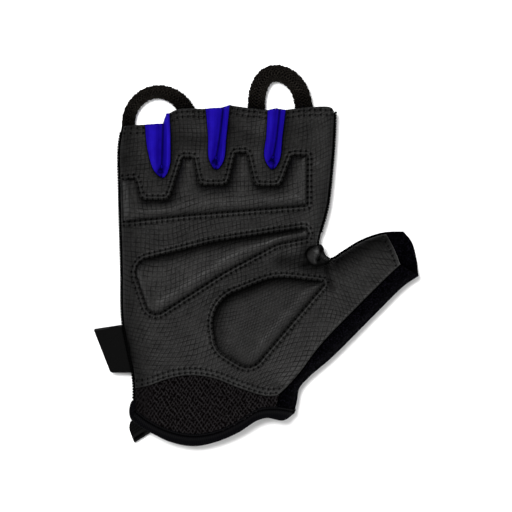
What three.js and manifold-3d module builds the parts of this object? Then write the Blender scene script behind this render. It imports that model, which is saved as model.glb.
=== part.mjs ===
// A fingerless sport glove for the right hand, lying on its back with the palm up.
// Millimetres: +Z up out of the palm, +Y towards the fingers, +X towards the thumb, Z = 0 the surface it lies on.
// The palm and back are thin sheets that meet at the side seams. Each sheet is an outline in plan, filled with
// triangles and given an underside and a top by two height functions, so neighbouring sheets follow one form.
import * as THREE from "three";
import { mergeVertices } from "three/addons/utils/BufferGeometryUtils.js";
import Module from "manifold-3d";

// Clearance between neighbouring pieces, and the walls of the glove
const GAP = 0.3;
const LEATHER = 1.6;
const KNIT = 1.5;
const STRETCH = 1.4;
const TERRY = 2.0;
const NET = 1.2;
const WEBBING = 1.6;

// The form of the empty glove: side seams half way up, level cloth from ROUND inside them
const SEAM_Z = 8;
const LIP = 1;
const SEAM_FLAT = 1.3;
const ROUND = 10;
const THUMB_DROP = 2.5;
const STRAP_THICK = 2;
const STRAP_ROOM = 2.6;
const STRAP_TOP_Y = -46;
const STRAP_STEP = 6;

// Pads, the wrist binding, the label and the pull loops
const PAD_EDGE = 1.1;
const PAD_SWELL = 3.2;
const PAD_ROUND = 7;
const BINDING_PROUD = 0.5;
const LABEL_THICK = 1.2;
const LOOP_THICK = 2.6;
const LOOP_Z = 2.6;
const LOOP_CLIMB = 1.4;
const SLIT = 0.6;
const CORE = 1.1;
const GATHER = { x: 27.4, y: 0.4, radius: 5, height: 2.6 };

// Spacing of the mesh along an edge and across a panel
const EDGE_STEP = 3.9;
const INNER_STEP = 7.2;
const PAD_STEP = 7;
const BACK_STEP = 12;
const CREASE_STEP = 3.4;
const RINGS = [2.6, 6, 11.5];

const table = (columns, rows) =>
  rows.map((row) => Object.fromEntries(columns.map((name, i) => [name, row[i]])));

// How high the palm's underside stands over the side seams, from the wrist edge to the finger hems
const CROWN = table(["y", "rise"], [
  [-90, 2.6],
  [-62, 6.6],
  [-30, 9.2],
  [12, 8.6],
  [42, 6.8],
  [72, 5.4],
]);

// The outline seen from above, in runs between the openings
const LITTLE_SIDE = table(["x", "y"], [
  [-62.9, 60.4],
  [-64.5, 51],
  [-64.4, 30],
  [-63.4, -6],
  [-62.9, -30],
  [-60.4, -44],
  [-58, -56],
  [-57.6, -66],
  [-59.2, -76],
]);
const INNER_SIDE = table(["x", "y"], [
  [37.2, 69],
  [36.8, 56],
  [35.6, 40],
  [33.5, 22],
  [30.2, 10],
  [29.4, 5.4],
  [31, 1.4],
  [34.4, -0.9],
  [39.5, 2],
  [46.5, 6.4],
  [53, 9.3],
  [60, 11.1],
  [68.5, 11.4],
]);
const THUMB_TIP = table(["x", "y"], [
  [68.5, 11.4],
  [72.6, 6.5],
  [75, -2],
  [75.6, -9.6],
]);
const THUMB_OUTER = table(["x", "y"], [
  [75.6, -9.6],
  [69, -14],
  [57, -25.7],
  [35.2, -47.5],
  [24.2, -57],
  [20, -62],
  [19.1, -67],
  [17.9, -72.6],
]);

// The hems of the four fingers and of the thumb's leather
const HEMS = {
  little: table(["x", "y"], [[-61.9, 60.4], [-51.6, 60.8]]),
  ring: table(["x", "y"], [[-40.6, 66.2], [-36.6, 67.9], [-23.4, 68.2]]),
  middle: table(["x", "y"], [[-12.6, 70], [-4.8, 68.7], [5.4, 67.6]]),
  index: table(["x", "y"], [[13.4, 67.8], [36.2, 69]]),
  thumb: table(["x", "y"], [[66.8, -4.2], [63.9, 3.2], [60.4, 10.1]]),
};

// The slots that the gussets fill: a row for each, down its left edge, round the crotch and up its right edge
const SLOTS = [
  table(["x", "y"], [[-51.6, 60.8], [-50.3, 49], [-47.2, 39.2], [-43.3, 36.2], [-40.6, 41], [-40.1, 54], [-40.6, 66.2]]),
  table(["x", "y"], [[-23.4, 68.2], [-22.3, 56], [-21.8, 44.6], [-18.8, 40], [-15.6, 43.6], [-14.1, 56], [-12.6, 70]]),
  table(["x", "y"], [[5.4, 67.6], [4.8, 56], [3.9, 45.4], [7.3, 40.1], [10.4, 44], [11.9, 56], [13.4, 67.8]]),
];

// Where the fold of each gusset reaches the hem, between the hems of its two fingers
const SLOT_HEMS = table(["x", "y"], [[-44.4, 61.7], [-16.6, 68.9], [9.4, 68.6]]);

// The fold down each gusset where the walls of two fingers press together, from the crotch to past the hem
const CREASES = [
  table(["x", "y"], [[-44.2, 41], [-43.9, 50], [-43.4, 68]]),
  table(["x", "y"], [[-18.9, 45], [-17.4, 54], [-15.2, 72]]),
  table(["x", "y"], [[7.6, 45.4], [9.2, 54], [11, 71]]),
];

// The seams across the palm side, and the edge of the back over the wrist
const PALM_HEM = table(["x", "y"], [
  [-56.7, -62],
  [-49.3, -60.2],
  [-40, -57],
  [-31, -55.6],
  [-20, -57],
  [-8, -61.6],
  [4, -65.2],
  [10.6, -65],
]);
const TERRY_SEAM = table(["x", "y"], [
  [10.6, -65],
  [19.6, -55],
  [30, -41.2],
  [48.5, -22],
  [60, -10.6],
  [66.8, -4.2],
]);
const BINDING_TOP = table(["x", "y"], [
  [-57.2, -70.4],
  [-50, -76],
  [-40, -80.8],
  [-29.3, -82.8],
  [-18, -81],
  [-7, -75.6],
  [0.5, -71],
  [9, -70],
  [18.4, -71.6],
]);
const BINDING_BOTTOM = table(["x", "y"], [
  [-59.2, -76],
  [-49.2, -82.2],
  [-40, -86.6],
  [-29, -88.6],
  [-18, -86.4],
  [-8, -82],
  [0, -76.8],
  [5, -75.4],
  [12.5, -76.6],
  [17.6, -73.6],
]);
const BACK_HEM = table(["x", "y"], [
  [-59.2, -76],
  [-40, -79],
  [-20, -78],
  [0, -74],
  [17.9, -72.6],
]);
const TERRY_BACK_SEAM = table(["x", "y"], [
  [34.4, -0.9],
  [26, -18],
  [16, -42],
  [9, -73.4],
]);

// The padded panels: straight runs between rounded corners
const KNUCKLE_PAD = table(["x", "y", "radius"], [
  [-64.4, 36.8, 1.5],
  [-54.8, 37.8, 3],
  [-52.2, 27.8, 3],
  [-42, 27.8, 3.5],
  [-35.8, 47.4, 3.5],
  [-27.8, 47.4, 3.5],
  [-25.2, 34.6, 3],
  [-14.9, 34.6, 3],
  [-11.4, 49.6, 4],
  [-3, 49.6, 4],
  [0.6, 34.2, 3],
  [9.6, 34.2, 3],
  [15, 48.4, 3],
  [25.4, 48.4, 2.5],
  [25.2, 21.6, 2.5],
  [-30, 17.2, 40],
  [-63.6, 13.6, 2.5],
]);
const PALM_PAD = table(["x", "y", "radius"], [
  [25.6, 15.4, 3],
  [-20, 8.4, 80],
  [-60.4, -1.6, 9],
  [-50.4, -32.6, 7],
  [-14, -9.2, 60],
  [10, 4.4, 20],
  [25.6, 7.6, 3],
]);
const THUMB_PAD = table(["x", "y", "radius"], [
  [36, -10.4, 3],
  [8, -7.4, 30],
  [-24.4, -20.4, 18],
  [-20.6, -45, 12],
  [-2.4, -56, 9],
  [14, -36.4, 60],
]);

// The pull loops: the middle line of each flat braid and its width, from one hem round to the other
const LOOPS = [
  table(["x", "y", "width"], [
    [-59.8, 61.3, 5.4],
    [-58.9, 66.8, 5.4],
    [-56, 71.6, 5.4],
    [-51.6, 75, 5.4],
    [-45.6, 76.4, 5.6],
    [-39.4, 74.7, 6.2],
    [-34.8, 71, 6.8],
    [-31.8, 66, 7],
    [-30.6, 61, 7],
  ]),
  table(["x", "y", "width"], [
    [0, 61, 7.4],
    [-0.1, 69, 7.4],
    [0.8, 77, 7.4],
    [4, 83, 7.2],
    [8.8, 85, 7.2],
    [15, 83, 7.4],
    [19.6, 78, 7.4],
    [21.8, 71, 7.6],
    [22.6, 62, 7.6],
  ]),
];

const LABEL = table(["x", "y", "radius"], [
  [-76, -34.2, 0.6],
  [-62.7, -32.2, 0.6],
  [-58.7, -54.6, 0.6],
  [-68, -54.6, 1],
]);
const STRAP = table(["x", "y", "radius"], [
  [13, -48, 3],
  [13, -70, 3],
  [-28, -75.4, 30],
  [-50.3, -78.3, 0.6],
  [-58.3, -81.9, 0.6],
  [-59.4, -78, 1.5],
  [-57, -50, 5],
]);
const TAB = { x: -54.4, y: -80.5, turn: -1.14, length: 5.4, width: 8.4, fold: 4.4, foot: 0.2 };

// Curves and outlines in plan
const vec = (x, y) => new THREE.Vector2(x, y);
const lengthOf = (line) => line.slice(1).reduce((sum, p, i) => sum + p.distanceTo(line[i]), 0);

function spaced(line, step) {
  const total = lengthOf(line);
  const count = Math.max(1, Math.round(total / step));
  const result = [line[0].clone()];
  let travelled = 0;
  for (let i = 1; i < line.length; i++) {
    const run = line[i].distanceTo(line[i - 1]);
    while (result.length < count && (travelled + run) * count >= total * result.length) {
      const t = (total * result.length / count - travelled) / run;
      result.push(line[i - 1].clone().lerp(line[i], t));
    }
    travelled += run;
  }
  result.push(line[line.length - 1].clone());
  return result;
}

function curve(rows, step = 0.5) {
  if (rows.length === 2) return spaced(rows.map(({ x, y }) => vec(x, y)), step);
  const points = rows.map(({ x, y }) => new THREE.Vector3(x, y, 0));
  const smooth = new THREE.CatmullRomCurve3(points, false, "centripetal");
  return smooth.getSpacedPoints(Math.ceil(smooth.getLength() / step)).map(({ x, y }) => vec(x, y));
}

function nearest(line, point) {
  let best = 0;
  for (let i = 1; i < line.length; i++) {
    if (line[i].distanceTo(point) < line[best].distanceTo(point)) best = i;
  }
  return best;
}

// The part of a line between the points nearest to two others, in that direction
function between(line, from, to) {
  const a = nearest(line, from);
  const b = nearest(line, to);
  return a <= b ? line.slice(a, b + 1) : line.slice(b, a + 1).reverse();
}

function sideways(line, i) {
  const before = line[Math.max(0, i - 1)];
  const after = line[Math.min(line.length - 1, i + 1)];
  const along = after.clone().sub(before).normalize();
  return vec(-along.y, along.x);
}

const shifted = (line, distance) => line.map((p, i) => p.clone().addScaledVector(sideways(line, i), distance));

function ribbon(line, halfWidth) {
  const half = typeof halfWidth === "function" ? halfWidth : () => halfWidth;
  const left = line.map((p, i) => p.clone().addScaledVector(sideways(line, i), half(i)));
  const right = line.map((p, i) => p.clone().addScaledVector(sideways(line, i), -half(i)));
  return [...left, ...right.reverse()];
}

const signedArea = (outline) => THREE.ShapeUtils.area(outline);
const counterClockwise = (outline) => (signedArea(outline) < 0 ? [...outline].reverse() : outline);

// Joins runs of points into one closed outline, each run spaced evenly from its own start to its end
function closed(runs, step = EDGE_STEP) {
  const outline = [];
  for (const run of runs) {
    for (const p of spaced(run, step)) {
      if (!outline.length || outline[outline.length - 1].distanceTo(p) > 1.2) outline.push(p);
    }
  }
  while (outline[0].distanceTo(outline[outline.length - 1]) < 1.2) outline.pop();
  return counterClockwise(outline);
}

function inset(outline, distance) {
  return outline.map((p, i) => {
    const before = outline[(i + outline.length - 1) % outline.length];
    const after = outline[(i + 1) % outline.length];
    const into = p.clone().sub(before).normalize();
    const out = after.clone().sub(p).normalize();
    const bisector = vec(-into.y - out.y, into.x + out.x).normalize();
    const reach = Math.max(0.5, bisector.dot(vec(-into.y, into.x)));
    return p.clone().addScaledVector(bisector, distance / reach);
  });
}

function rounded(corners, step = EDGE_STEP) {
  const at = corners.map(({ x, y }) => vec(x, y));
  const count = at.length;
  const arcs = corners.map(({ radius }, i) => {
    const before = at[(i + count - 1) % count].clone().sub(at[i]).normalize();
    const after = at[(i + 1) % count].clone().sub(at[i]).normalize();
    const half = before.angleTo(after) / 2;
    const cut = radius / Math.tan(half);
    const centre = at[i].clone().addScaledVector(before.clone().add(after).normalize(), radius / Math.sin(half));
    const start = at[i].clone().addScaledVector(before, cut).sub(centre);
    const end = at[i].clone().addScaledVector(after, cut).sub(centre);
    const turn = Math.atan2(start.cross(end), start.dot(end));
    const steps = Math.max(2, Math.ceil((Math.abs(turn) * radius) / step));
    return Array.from({ length: steps + 1 }, (_, k) => start.clone().rotateAround(vec(0, 0), (turn * k) / steps).add(centre));
  });
  const runs = arcs.flatMap((arc, i) => [arc, [arc[arc.length - 1], arcs[(i + 1) % count][0]]]);
  const outline = [];
  for (const run of runs) {
    for (const p of run.length > 2 ? run : spaced(run, step)) {
      if (!outline.length || outline[outline.length - 1].distanceTo(p) > 0.6) outline.push(p);
    }
  }
  if (outline[0].distanceTo(outline[outline.length - 1]) < 0.6) outline.pop();
  return counterClockwise(outline);
}

function toSegment(x, y, a, b) {
  const dx = b.x - a.x;
  const dy = b.y - a.y;
  const t = THREE.MathUtils.clamp(((x - a.x) * dx + (y - a.y) * dy) / (dx * dx + dy * dy), 0, 1);
  return Math.hypot(x - a.x - t * dx, y - a.y - t * dy);
}

function toLine(x, y, line, loop = false) {
  let best = Infinity;
  for (let i = loop ? 0 : 1; i < line.length; i++) {
    best = Math.min(best, toSegment(x, y, line[(i + line.length - 1) % line.length], line[i]));
  }
  return best;
}

function inside(x, y, outline) {
  let odd = false;
  for (let i = 0, j = outline.length - 1; i < outline.length; j = i++) {
    const a = outline[i];
    const b = outline[j];
    if (a.y > y !== b.y > y && x < ((b.x - a.x) * (y - a.y)) / (b.y - a.y) + a.x) odd = !odd;
  }
  return odd;
}

// The triangles between points: each point in turn replaces the triangles whose circle it falls in
function triangulate(points) {
  const far = 1e4;
  const all = [...points, vec(-far, -far), vec(far, -far), vec(0, far)];
  const circle = (a, b, c) => {
    const [p, q, r] = [all[a], all[b], all[c]];
    const d = 2 * ((q.x - p.x) * (r.y - p.y) - (q.y - p.y) * (r.x - p.x));
    const u = (q.x - p.x) ** 2 + (q.y - p.y) ** 2;
    const v = (r.x - p.x) ** 2 + (r.y - p.y) ** 2;
    const x = p.x + ((r.y - p.y) * u - (q.y - p.y) * v) / d;
    const y = p.y + ((q.x - p.x) * v - (r.x - p.x) * u) / d;
    return { a, b, c, x, y, square: (x - p.x) ** 2 + (y - p.y) ** 2 };
  };
  let triangles = [circle(points.length, points.length + 1, points.length + 2)];
  points.forEach((p, i) => {
    const edges = new Map();
    triangles = triangles.filter(({ a, b, c, x, y, square }) => {
      if ((x - p.x) ** 2 + (y - p.y) ** 2 >= square) return true;
      for (const [from, to] of [[a, b], [b, c], [c, a]]) {
        if (!edges.delete(`${to},${from}`)) edges.set(`${from},${to}`, [from, to]);
      }
      return false;
    });
    for (const [from, to] of edges.values()) triangles.push(circle(from, to, i));
  });
  return triangles.filter(({ a, b, c }) => Math.max(a, b, c) < points.length);
}

// An outline filled with points, closest together near its edge, and the triangles between them
function filled(outline, step = INNER_STEP, folds = []) {
  const points = [...outline];
  const room = (p, edgeRoom, pointRoom) =>
    inside(p.x, p.y, outline) &&
    toLine(p.x, p.y, outline, true) > edgeRoom &&
    points.slice(outline.length).every((q) => q.distanceTo(p) > pointRoom);
  for (const p of folds) if (room(p, 0.9, 1)) points.push(p);
  for (const depth of RINGS) {
    for (const p of inset(outline, depth)) if (room(p, depth * 0.92, depth * 0.45 + 2)) points.push(p);
  }
  const low = new THREE.Box2().setFromPoints(outline);
  for (let row = 0, y = low.min.y; y < low.max.y; row++, y += step * 0.866) {
    for (let x = low.min.x + (row % 2) * step * 0.5; x < low.max.x; x += step) {
      const p = vec(x + 0.3 * Math.sin(row * 1.7 + x), y + 0.3 * Math.cos(row * 2.3 + x));
      if (room(p, RINGS[1] + 0.3 * step, step * 0.62)) points.push(p);
    }
  }
  const triangles = triangulate(points).filter(({ a, b, c }) => {
    const middle = points[a].clone().add(points[b]).add(points[c]).divideScalar(3);
    return inside(middle.x, middle.y, outline);
  });
  return { points, triangles };
}

// A closed sheet over a filled outline, from an underside to a top
function sheet({ points, triangles }, under, top) {
  const count = points.length;
  const position = [...points.map((p) => [p.x, p.y, under(p.x, p.y)]), ...points.map((p) => [p.x, p.y, top(p.x, p.y)])];
  const index = [];
  const edges = new Map();
  for (const { a, b, c } of triangles) {
    index.push(a, c, b, a + count, b + count, c + count);
    for (const [from, to] of [[a, b], [b, c], [c, a]]) {
      if (!edges.delete(`${to},${from}`)) edges.set(`${from},${to}`, [from, to]);
    }
  }
  for (const [from, to] of edges.values()) index.push(from, to, to + count, from, to + count, from + count);
  const geometry = new THREE.BufferGeometry();
  geometry.setAttribute("position", new THREE.Float32BufferAttribute(position.flat(), 3));
  geometry.setIndex(index);
  return geometry;
}

// Joins and cuts
const wasm = await Module();
wasm.setup();

function solid(geometry) {
  const bare = geometry.clone();
  bare.deleteAttribute("normal");
  bare.deleteAttribute("uv");
  const merged = mergeVertices(bare, 1e-4);
  const vertProperties = Float32Array.from(merged.attributes.position.array);
  const triVerts = Uint32Array.from(merged.index.array);
  return new wasm.Manifold(new wasm.Mesh({ numProp: 3, vertProperties, triVerts }));
}

function surface(body) {
  const { vertProperties, triVerts } = body.getMesh();
  const geometry = new THREE.BufferGeometry();
  geometry.setAttribute("position", new THREE.Float32BufferAttribute(vertProperties, 3));
  geometry.setIndex(Array.from(triVerts));
  return geometry;
}

// The runs that the outlines share
const littleSide = curve(LITTLE_SIDE);
const innerSide = curve(INNER_SIDE);
const thumbTip = curve(THUMB_TIP);
const thumbOuter = curve(THUMB_OUTER);
const palmHem = curve(PALM_HEM);
const terrySeam = curve(TERRY_SEAM);
const bindingTop = curve(BINDING_TOP);
const bindingBottom = curve(BINDING_BOTTOM);
const backHem = curve(BACK_HEM);
const terryBackSeam = curve(TERRY_BACK_SEAM);
const slots = SLOTS.map((rows) => curve(rows));
const creases = CREASES.map((rows) => curve(rows));
const hem = Object.fromEntries(Object.entries(HEMS).map(([name, rows]) => [name, curve(rows)]));
const first = (line) => line[0];
const last = (line) => line[line.length - 1];
const back = (line) => [...line].reverse();

// The form: 0 at a seam, 1 where the cloth has turned level
const seams = [littleSide, innerSide, thumbOuter, ...creases].map((line) => spaced(line, 3));

function fullness(x, y) {
  const distance = Math.min(...seams.map((line) => toLine(x, y, line)));
  const s = THREE.MathUtils.clamp((distance - SEAM_FLAT) / ROUND, 0, 1);
  return Math.sqrt(s * (2 - s));
}

function crown(x, y) {
  const next = CROWN.findIndex((row) => row.y > y);
  const high = CROWN[next < 0 ? CROWN.length - 1 : Math.max(1, next)];
  const low = CROWN[CROWN.indexOf(high) - 1];
  const t = THREE.MathUtils.smoothstep(y, low.y, high.y);
  return THREE.MathUtils.lerp(low.rise, high.rise, t) - THUMB_DROP * THREE.MathUtils.smoothstep(x, 28, 60);
}

function gather(x, y) {
  const t = Math.min(1, Math.hypot(x - GATHER.x, y - GATHER.y) / GATHER.radius);
  return (GATHER.height * (1 + Math.cos(Math.PI * t))) / 2;
}

const palmUnder = (x, y) => SEAM_Z + GAP / 2 + crown(x, y) * fullness(x, y) + gather(x, y);
const palmTop = (thickness) => (x, y) => palmUnder(x, y) + thickness;
const strapLift = (y) => STRAP_ROOM * THREE.MathUtils.smoothstep(-y, -STRAP_TOP_Y - STRAP_STEP, -STRAP_TOP_Y);

function backUnder(thickness) {
  return (x, y) => {
    const level = fullness(x, y);
    return (SEAM_Z - GAP / 2 - thickness) * (1 - level) + strapLift(y) * level;
  };
}

const backTop = (thickness) => (x, y) => backUnder(thickness)(x, y) + thickness;

const palmSheet = (plan, thickness) => sheet(plan, palmUnder, palmTop(thickness));
const backSheet = (plan, thickness) => sheet(plan, backUnder(thickness), backTop(thickness));
const slab = (outline, low, high) => sheet(filled(outline), () => low, () => high);
const core = (line, thickness) => slab(ribbon(line, CORE), SEAM_Z - thickness, SEAM_Z + thickness);

// The leather of the palm, with the fronts of the fingers and thumb
const leatherLittleSide = shifted(between(littleSide, first(littleSide), first(palmHem)), LIP);
const leatherInnerSide = shifted(between(innerSide, last(hem.thumb), first(innerSide)), LIP);
const fingerEdge = [
  hem.index.slice().reverse(),
  back(slots[2]),
  back(hem.middle),
  back(slots[1]),
  back(hem.ring),
  back(slots[0]),
  back(hem.little),
];
const leatherOutline = closed([
  leatherLittleSide,
  palmHem,
  terrySeam,
  hem.thumb,
  leatherInnerSide,
  ...fingerEdge,
]);
const gatherRing = [0, 1, 2, 3, 4, 5].map((i) =>
  vec(GATHER.x + 3 * Math.cos((i * Math.PI) / 3), GATHER.y + 3 * Math.sin((i * Math.PI) / 3)));
const leatherPlan = filled(inset(leatherOutline, GAP / 2), INNER_STEP, [vec(GATHER.x, GATHER.y), ...gatherRing]);
const palmLeather = palmSheet(leatherPlan, LEATHER);
const leatherClearance = solid(sheet(leatherPlan, () => 0, palmTop(LEATHER + GAP)));

// A padded panel over the leather: full in the middle and thin along its stitched edge
function pad(corners) {
  const outline = inset(rounded(corners), LIP);
  const swell = (x, y) => {
    const s = Math.min(1, toLine(x, y, outline, true) / PAD_ROUND);
    return PAD_EDGE + PAD_SWELL * Math.sqrt(s * (2 - s));
  };
  const top = (x, y) => palmUnder(x, y) + LEATHER + GAP + swell(x, y);
  const block = solid(sheet(filled(outline, PAD_STEP), () => SEAM_Z, top));
  return surface(block.subtract(leatherClearance));
}

// The back, and the terry that wraps the thumb
const backOutline = closed([
  between(littleSide, first(littleSide), last(littleSide)),
  backHem.slice(0, nearest(backHem, last(terryBackSeam)) + 1),
  back(terryBackSeam),
  between(innerSide, first(terryBackSeam), first(innerSide)),
  ...fingerEdge,
]);
const strapEdge = [STRAP_TOP_Y, STRAP_TOP_Y + STRAP_STEP].flatMap((y) =>
  Array.from({ length: 13 }, (_, i) => vec(-56 + 6 * i, y)));
const backPanel = backSheet(filled(inset(backOutline, GAP / 2), BACK_STEP, strapEdge), KNIT);

function thumbTerry() {
  const palmSide = closed([
    terrySeam,
    [last(terrySeam), last(thumbTip)],
    thumbOuter.slice(0, nearest(thumbOuter, last(bindingTop)) + 1),
    between(bindingTop, last(bindingTop), vec(9, -70)),
  ]);
  const backSide = closed([
    terryBackSeam,
    backHem.slice(nearest(backHem, last(terryBackSeam))),
    back(thumbOuter),
    back(thumbTip),
    between(innerSide, last(innerSide), first(terryBackSeam)),
  ]);
  const rim = shifted(spaced(thumbOuter.slice(0, nearest(thumbOuter, last(bindingTop)) - 1), EDGE_STEP), -CORE - GAP);
  return surface(
    solid(palmSheet(filled(inset(palmSide, GAP / 2)), TERRY))
      .add(solid(backSheet(filled(inset(backSide, GAP / 2), BACK_STEP), TERRY)))
      .add(solid(core(rim, TERRY))),
  );
}

// A gusset: walls of two neighbouring fingers, joined along the crease and slit from the hem to the crotch
function gusset(slot, crease, { x, y }) {
  const hemFold = vec(x, y);
  const outline = closed([slot, [last(slot), hemFold], [hemFold, first(slot)]]);
  const plan = filled(inset(outline, GAP / 2), INNER_STEP, spaced(crease, CREASE_STEP));
  const reach = crease.filter((p) => inside(p.x, p.y, inset(outline, CORE)));
  const slit = spaced(crease, CREASE_STEP).slice(1);
  return surface(
    solid(palmSheet(plan, STRETCH))
      .add(solid(backSheet(plan, STRETCH)))
      .add(solid(core(spaced(reach, CREASE_STEP), STRETCH)))
      .subtract(solid(slab(ribbon(slit, SLIT / 2), -1, 30))),
  );
}

// The wrist: net, binding, and the closing strap under the back with its folded tab
const netOutline = closed([
  palmHem,
  [last(palmHem), vec(9, -70)],
  between(bindingTop, vec(9, -70), first(bindingTop)),
  shifted(between(littleSide, first(bindingTop), first(palmHem)), -LIP),
]);
const wristNet = palmSheet(filled(inset(netOutline, GAP / 2)), NET);

const bindingOutline = closed([
  bindingTop,
  [last(bindingTop), last(bindingBottom)],
  back(bindingBottom),
]);
const wristBinding = sheet(
  filled(inset(bindingOutline, GAP / 2)),
  (x, y) => palmUnder(x, y) - BINDING_PROUD * fullness(x, y),
  (x, y) => palmUnder(x, y) + NET + BINDING_PROUD,
);

const wristStrap = slab(rounded(STRAP), 0, STRAP_THICK);

function wristTab() {
  const half = TAB.fold / 2;
  const profile = new THREE.Shape();
  profile.moveTo(0, 0);
  profile.lineTo(TAB.length - half, 0);
  profile.absarc(TAB.length - half, half, half, -Math.PI / 2, Math.PI / 2, false);
  profile.lineTo(0, TAB.fold);
  profile.lineTo(0, TAB.fold - WEBBING);
  profile.lineTo(TAB.length - half, TAB.fold - WEBBING);
  profile.absarc(TAB.length - half, half, half - WEBBING, Math.PI / 2, -Math.PI / 2, true);
  profile.lineTo(0, WEBBING);
  const geometry = new THREE.ExtrudeGeometry(profile, { depth: TAB.width, bevelEnabled: false, curveSegments: 8 });
  geometry.translate(0, 0, -TAB.width / 2);
  geometry.rotateX(Math.PI / 2);
  return geometry;
}

function pullLoop(rows) {
  const line = spaced(curve(rows), EDGE_STEP);
  const widths = rows.map(({ width }) => width);
  const half = (i) => {
    const at = (i / (line.length - 1)) * (widths.length - 1);
    const k = Math.min(widths.length - 2, Math.floor(at));
    return THREE.MathUtils.lerp(widths[k], widths[k + 1], at - k) / 2;
  };
  const low = (x, y) => LOOP_Z + LOOP_CLIMB * THREE.MathUtils.smoothstep(y, 68, 86);
  return sheet(filled(ribbon(line, half)), low, (x, y) => low(x, y) + LOOP_THICK);
}

// The glove
const glove = new THREE.Group();

function finish(color, roughness, metalness = 0) {
  return new THREE.MeshStandardMaterial({ color, roughness, metalness });
}

const leather = finish(0x2a2a2a, 0.55);
const padLeather = finish(0x303030, 0.5);
const blueStretch = finish(0x1c0aa8, 0.6);
const knit = finish(0x141416, 0.9);
const terry = finish(0x0c0b12, 1);
const net = finish(0x241d1f, 0.85);
const twill = finish(0x101014, 0.8);
const braid = finish(0x16130f, 0.8);

function piece(name, geometry, material) {
  const mesh = new THREE.Mesh(geometry, material);
  geometry.computeVertexNormals();
  mesh.name = name;
  glove.add(mesh);
  return mesh;
}

piece("palm_leather", palmLeather, leather);
piece("knuckle_pad", pad(KNUCKLE_PAD), padLeather);
piece("palm_pad", pad(PALM_PAD), padLeather);
piece("thumb_pad", pad(THUMB_PAD), padLeather);
slots.forEach((slot, i) => piece(`finger_gusset_${i + 1}`, gusset(slot, creases[i], SLOT_HEMS[i]), blueStretch));
piece("thumb_terry", thumbTerry(), terry);
piece("back_panel", backPanel, knit);
piece("wrist_net", wristNet, net);
piece("wrist_binding", wristBinding, twill);
piece("wrist_strap", wristStrap, twill);
LOOPS.forEach((rows, i) => piece(`pull_loop_${i + 1}`, pullLoop(rows), braid));
piece("side_label", slab(rounded(LABEL), SEAM_Z - LABEL_THICK / 2, SEAM_Z + LABEL_THICK / 2), twill);
const tab = piece("wrist_tab", wristTab(), twill);
tab.position.set(TAB.x, TAB.y, TAB.foot);
tab.rotation.z = TAB.turn;

export default glove;
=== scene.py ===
"""A fingerless sport glove for the right hand, lying on its back with the palm up.

Every piece takes its place from the same tables as the solids. They are in millimetres, with +Y towards the
fingers, +X towards the thumb and +Z up out of the palm, and become metres when a mesh is made.
"""

import math

import bpy
import numpy as np
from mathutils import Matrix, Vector
from mathutils.geometry import delaunay_2d_cdt
from mathutils.kdtree import KDTree


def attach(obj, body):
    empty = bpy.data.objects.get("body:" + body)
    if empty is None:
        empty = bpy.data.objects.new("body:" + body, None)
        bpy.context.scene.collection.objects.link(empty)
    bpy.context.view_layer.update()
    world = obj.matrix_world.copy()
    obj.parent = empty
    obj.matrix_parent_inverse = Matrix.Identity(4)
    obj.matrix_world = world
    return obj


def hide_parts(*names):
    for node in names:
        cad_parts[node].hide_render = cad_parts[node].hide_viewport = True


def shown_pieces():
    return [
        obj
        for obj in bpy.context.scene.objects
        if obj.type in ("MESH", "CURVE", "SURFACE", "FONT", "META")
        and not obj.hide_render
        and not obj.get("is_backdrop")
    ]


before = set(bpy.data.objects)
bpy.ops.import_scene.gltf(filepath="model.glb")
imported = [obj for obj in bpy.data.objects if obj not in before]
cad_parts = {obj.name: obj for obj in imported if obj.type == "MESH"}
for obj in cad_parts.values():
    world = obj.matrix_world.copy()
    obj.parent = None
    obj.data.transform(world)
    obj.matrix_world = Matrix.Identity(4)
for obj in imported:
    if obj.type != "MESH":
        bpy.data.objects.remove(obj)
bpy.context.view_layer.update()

MM = 0.001
rng = np.random.default_rng(11)

# Clearance between neighbouring pieces, and the walls of the glove
GAP = 0.3
LEATHER = 1.6
KNIT = 1.5
STRETCH = 1.4
TERRY = 2.0
NET = 1.2

# The form of the empty glove: side seams half way up, level cloth from ROUND inside them
SEAM_Z = 8
LIP = 1
SEAM_FLAT = 1.3
ROUND = 10
THUMB_DROP = 2.5
STRAP_THICK = 2.0
STRAP_ROOM = 2.6
STRAP_TOP_Y = -46
STRAP_STEP = 6
GATHER = {"x": 27.4, "y": 0.4, "radius": 5, "height": 2.6}

# Pads: how high they stand over the leather, how far in they are full, the height that they start from,
# how far in their rim is, the power of their swell, the recess under them and their clearance in it
PAD_HEIGHT = 4.6
PAD_ROUND = 5.6
PAD_START = -0.45
PAD_INSET = 2.15
PAD_EASE = 0.78
PAD_RECESS = 1.0
PAD_CLEAR = 0.25

# Sewing: the pitch of the stitches, the steps along each, and the two rows round each pad
PITCH = 2.55
ROW_POINTS = 4
ROW_GAP = 1.65
# The rows along the hems, by their distance from the hem, and how far inside the leather's edge rows end
FINGER_ROWS = (1.5, 3.8)
THUMB_ROW = 2.1
WRIST_ROWS = (1.4, 3.4)
PAD_ROWS_END = 1.3
FINGER_ROWS_END = 0.9
WRIST_ROWS_END = 1.1
# The groove that the thread pulls along a row, and the needle holes: their depth and how wide they are
ROW_GROOVE = 0.12
ROW_GROOVE_WIDE = 0.45
PIT_DEPTH = 0.5
PIT_FLOOR = 0.34
PIT_RADIUS = 0.64

# How high the palm stands over its seams, from the wrist to the fingers, and where it falls away to the thumb
THUMB_FALL = (28, 60)
CROWN = ((-90, 2.6), (-62, 6.6), (-30, 9.2), (12, 8.6), (42, 6.8), (72, 5.4))

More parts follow.
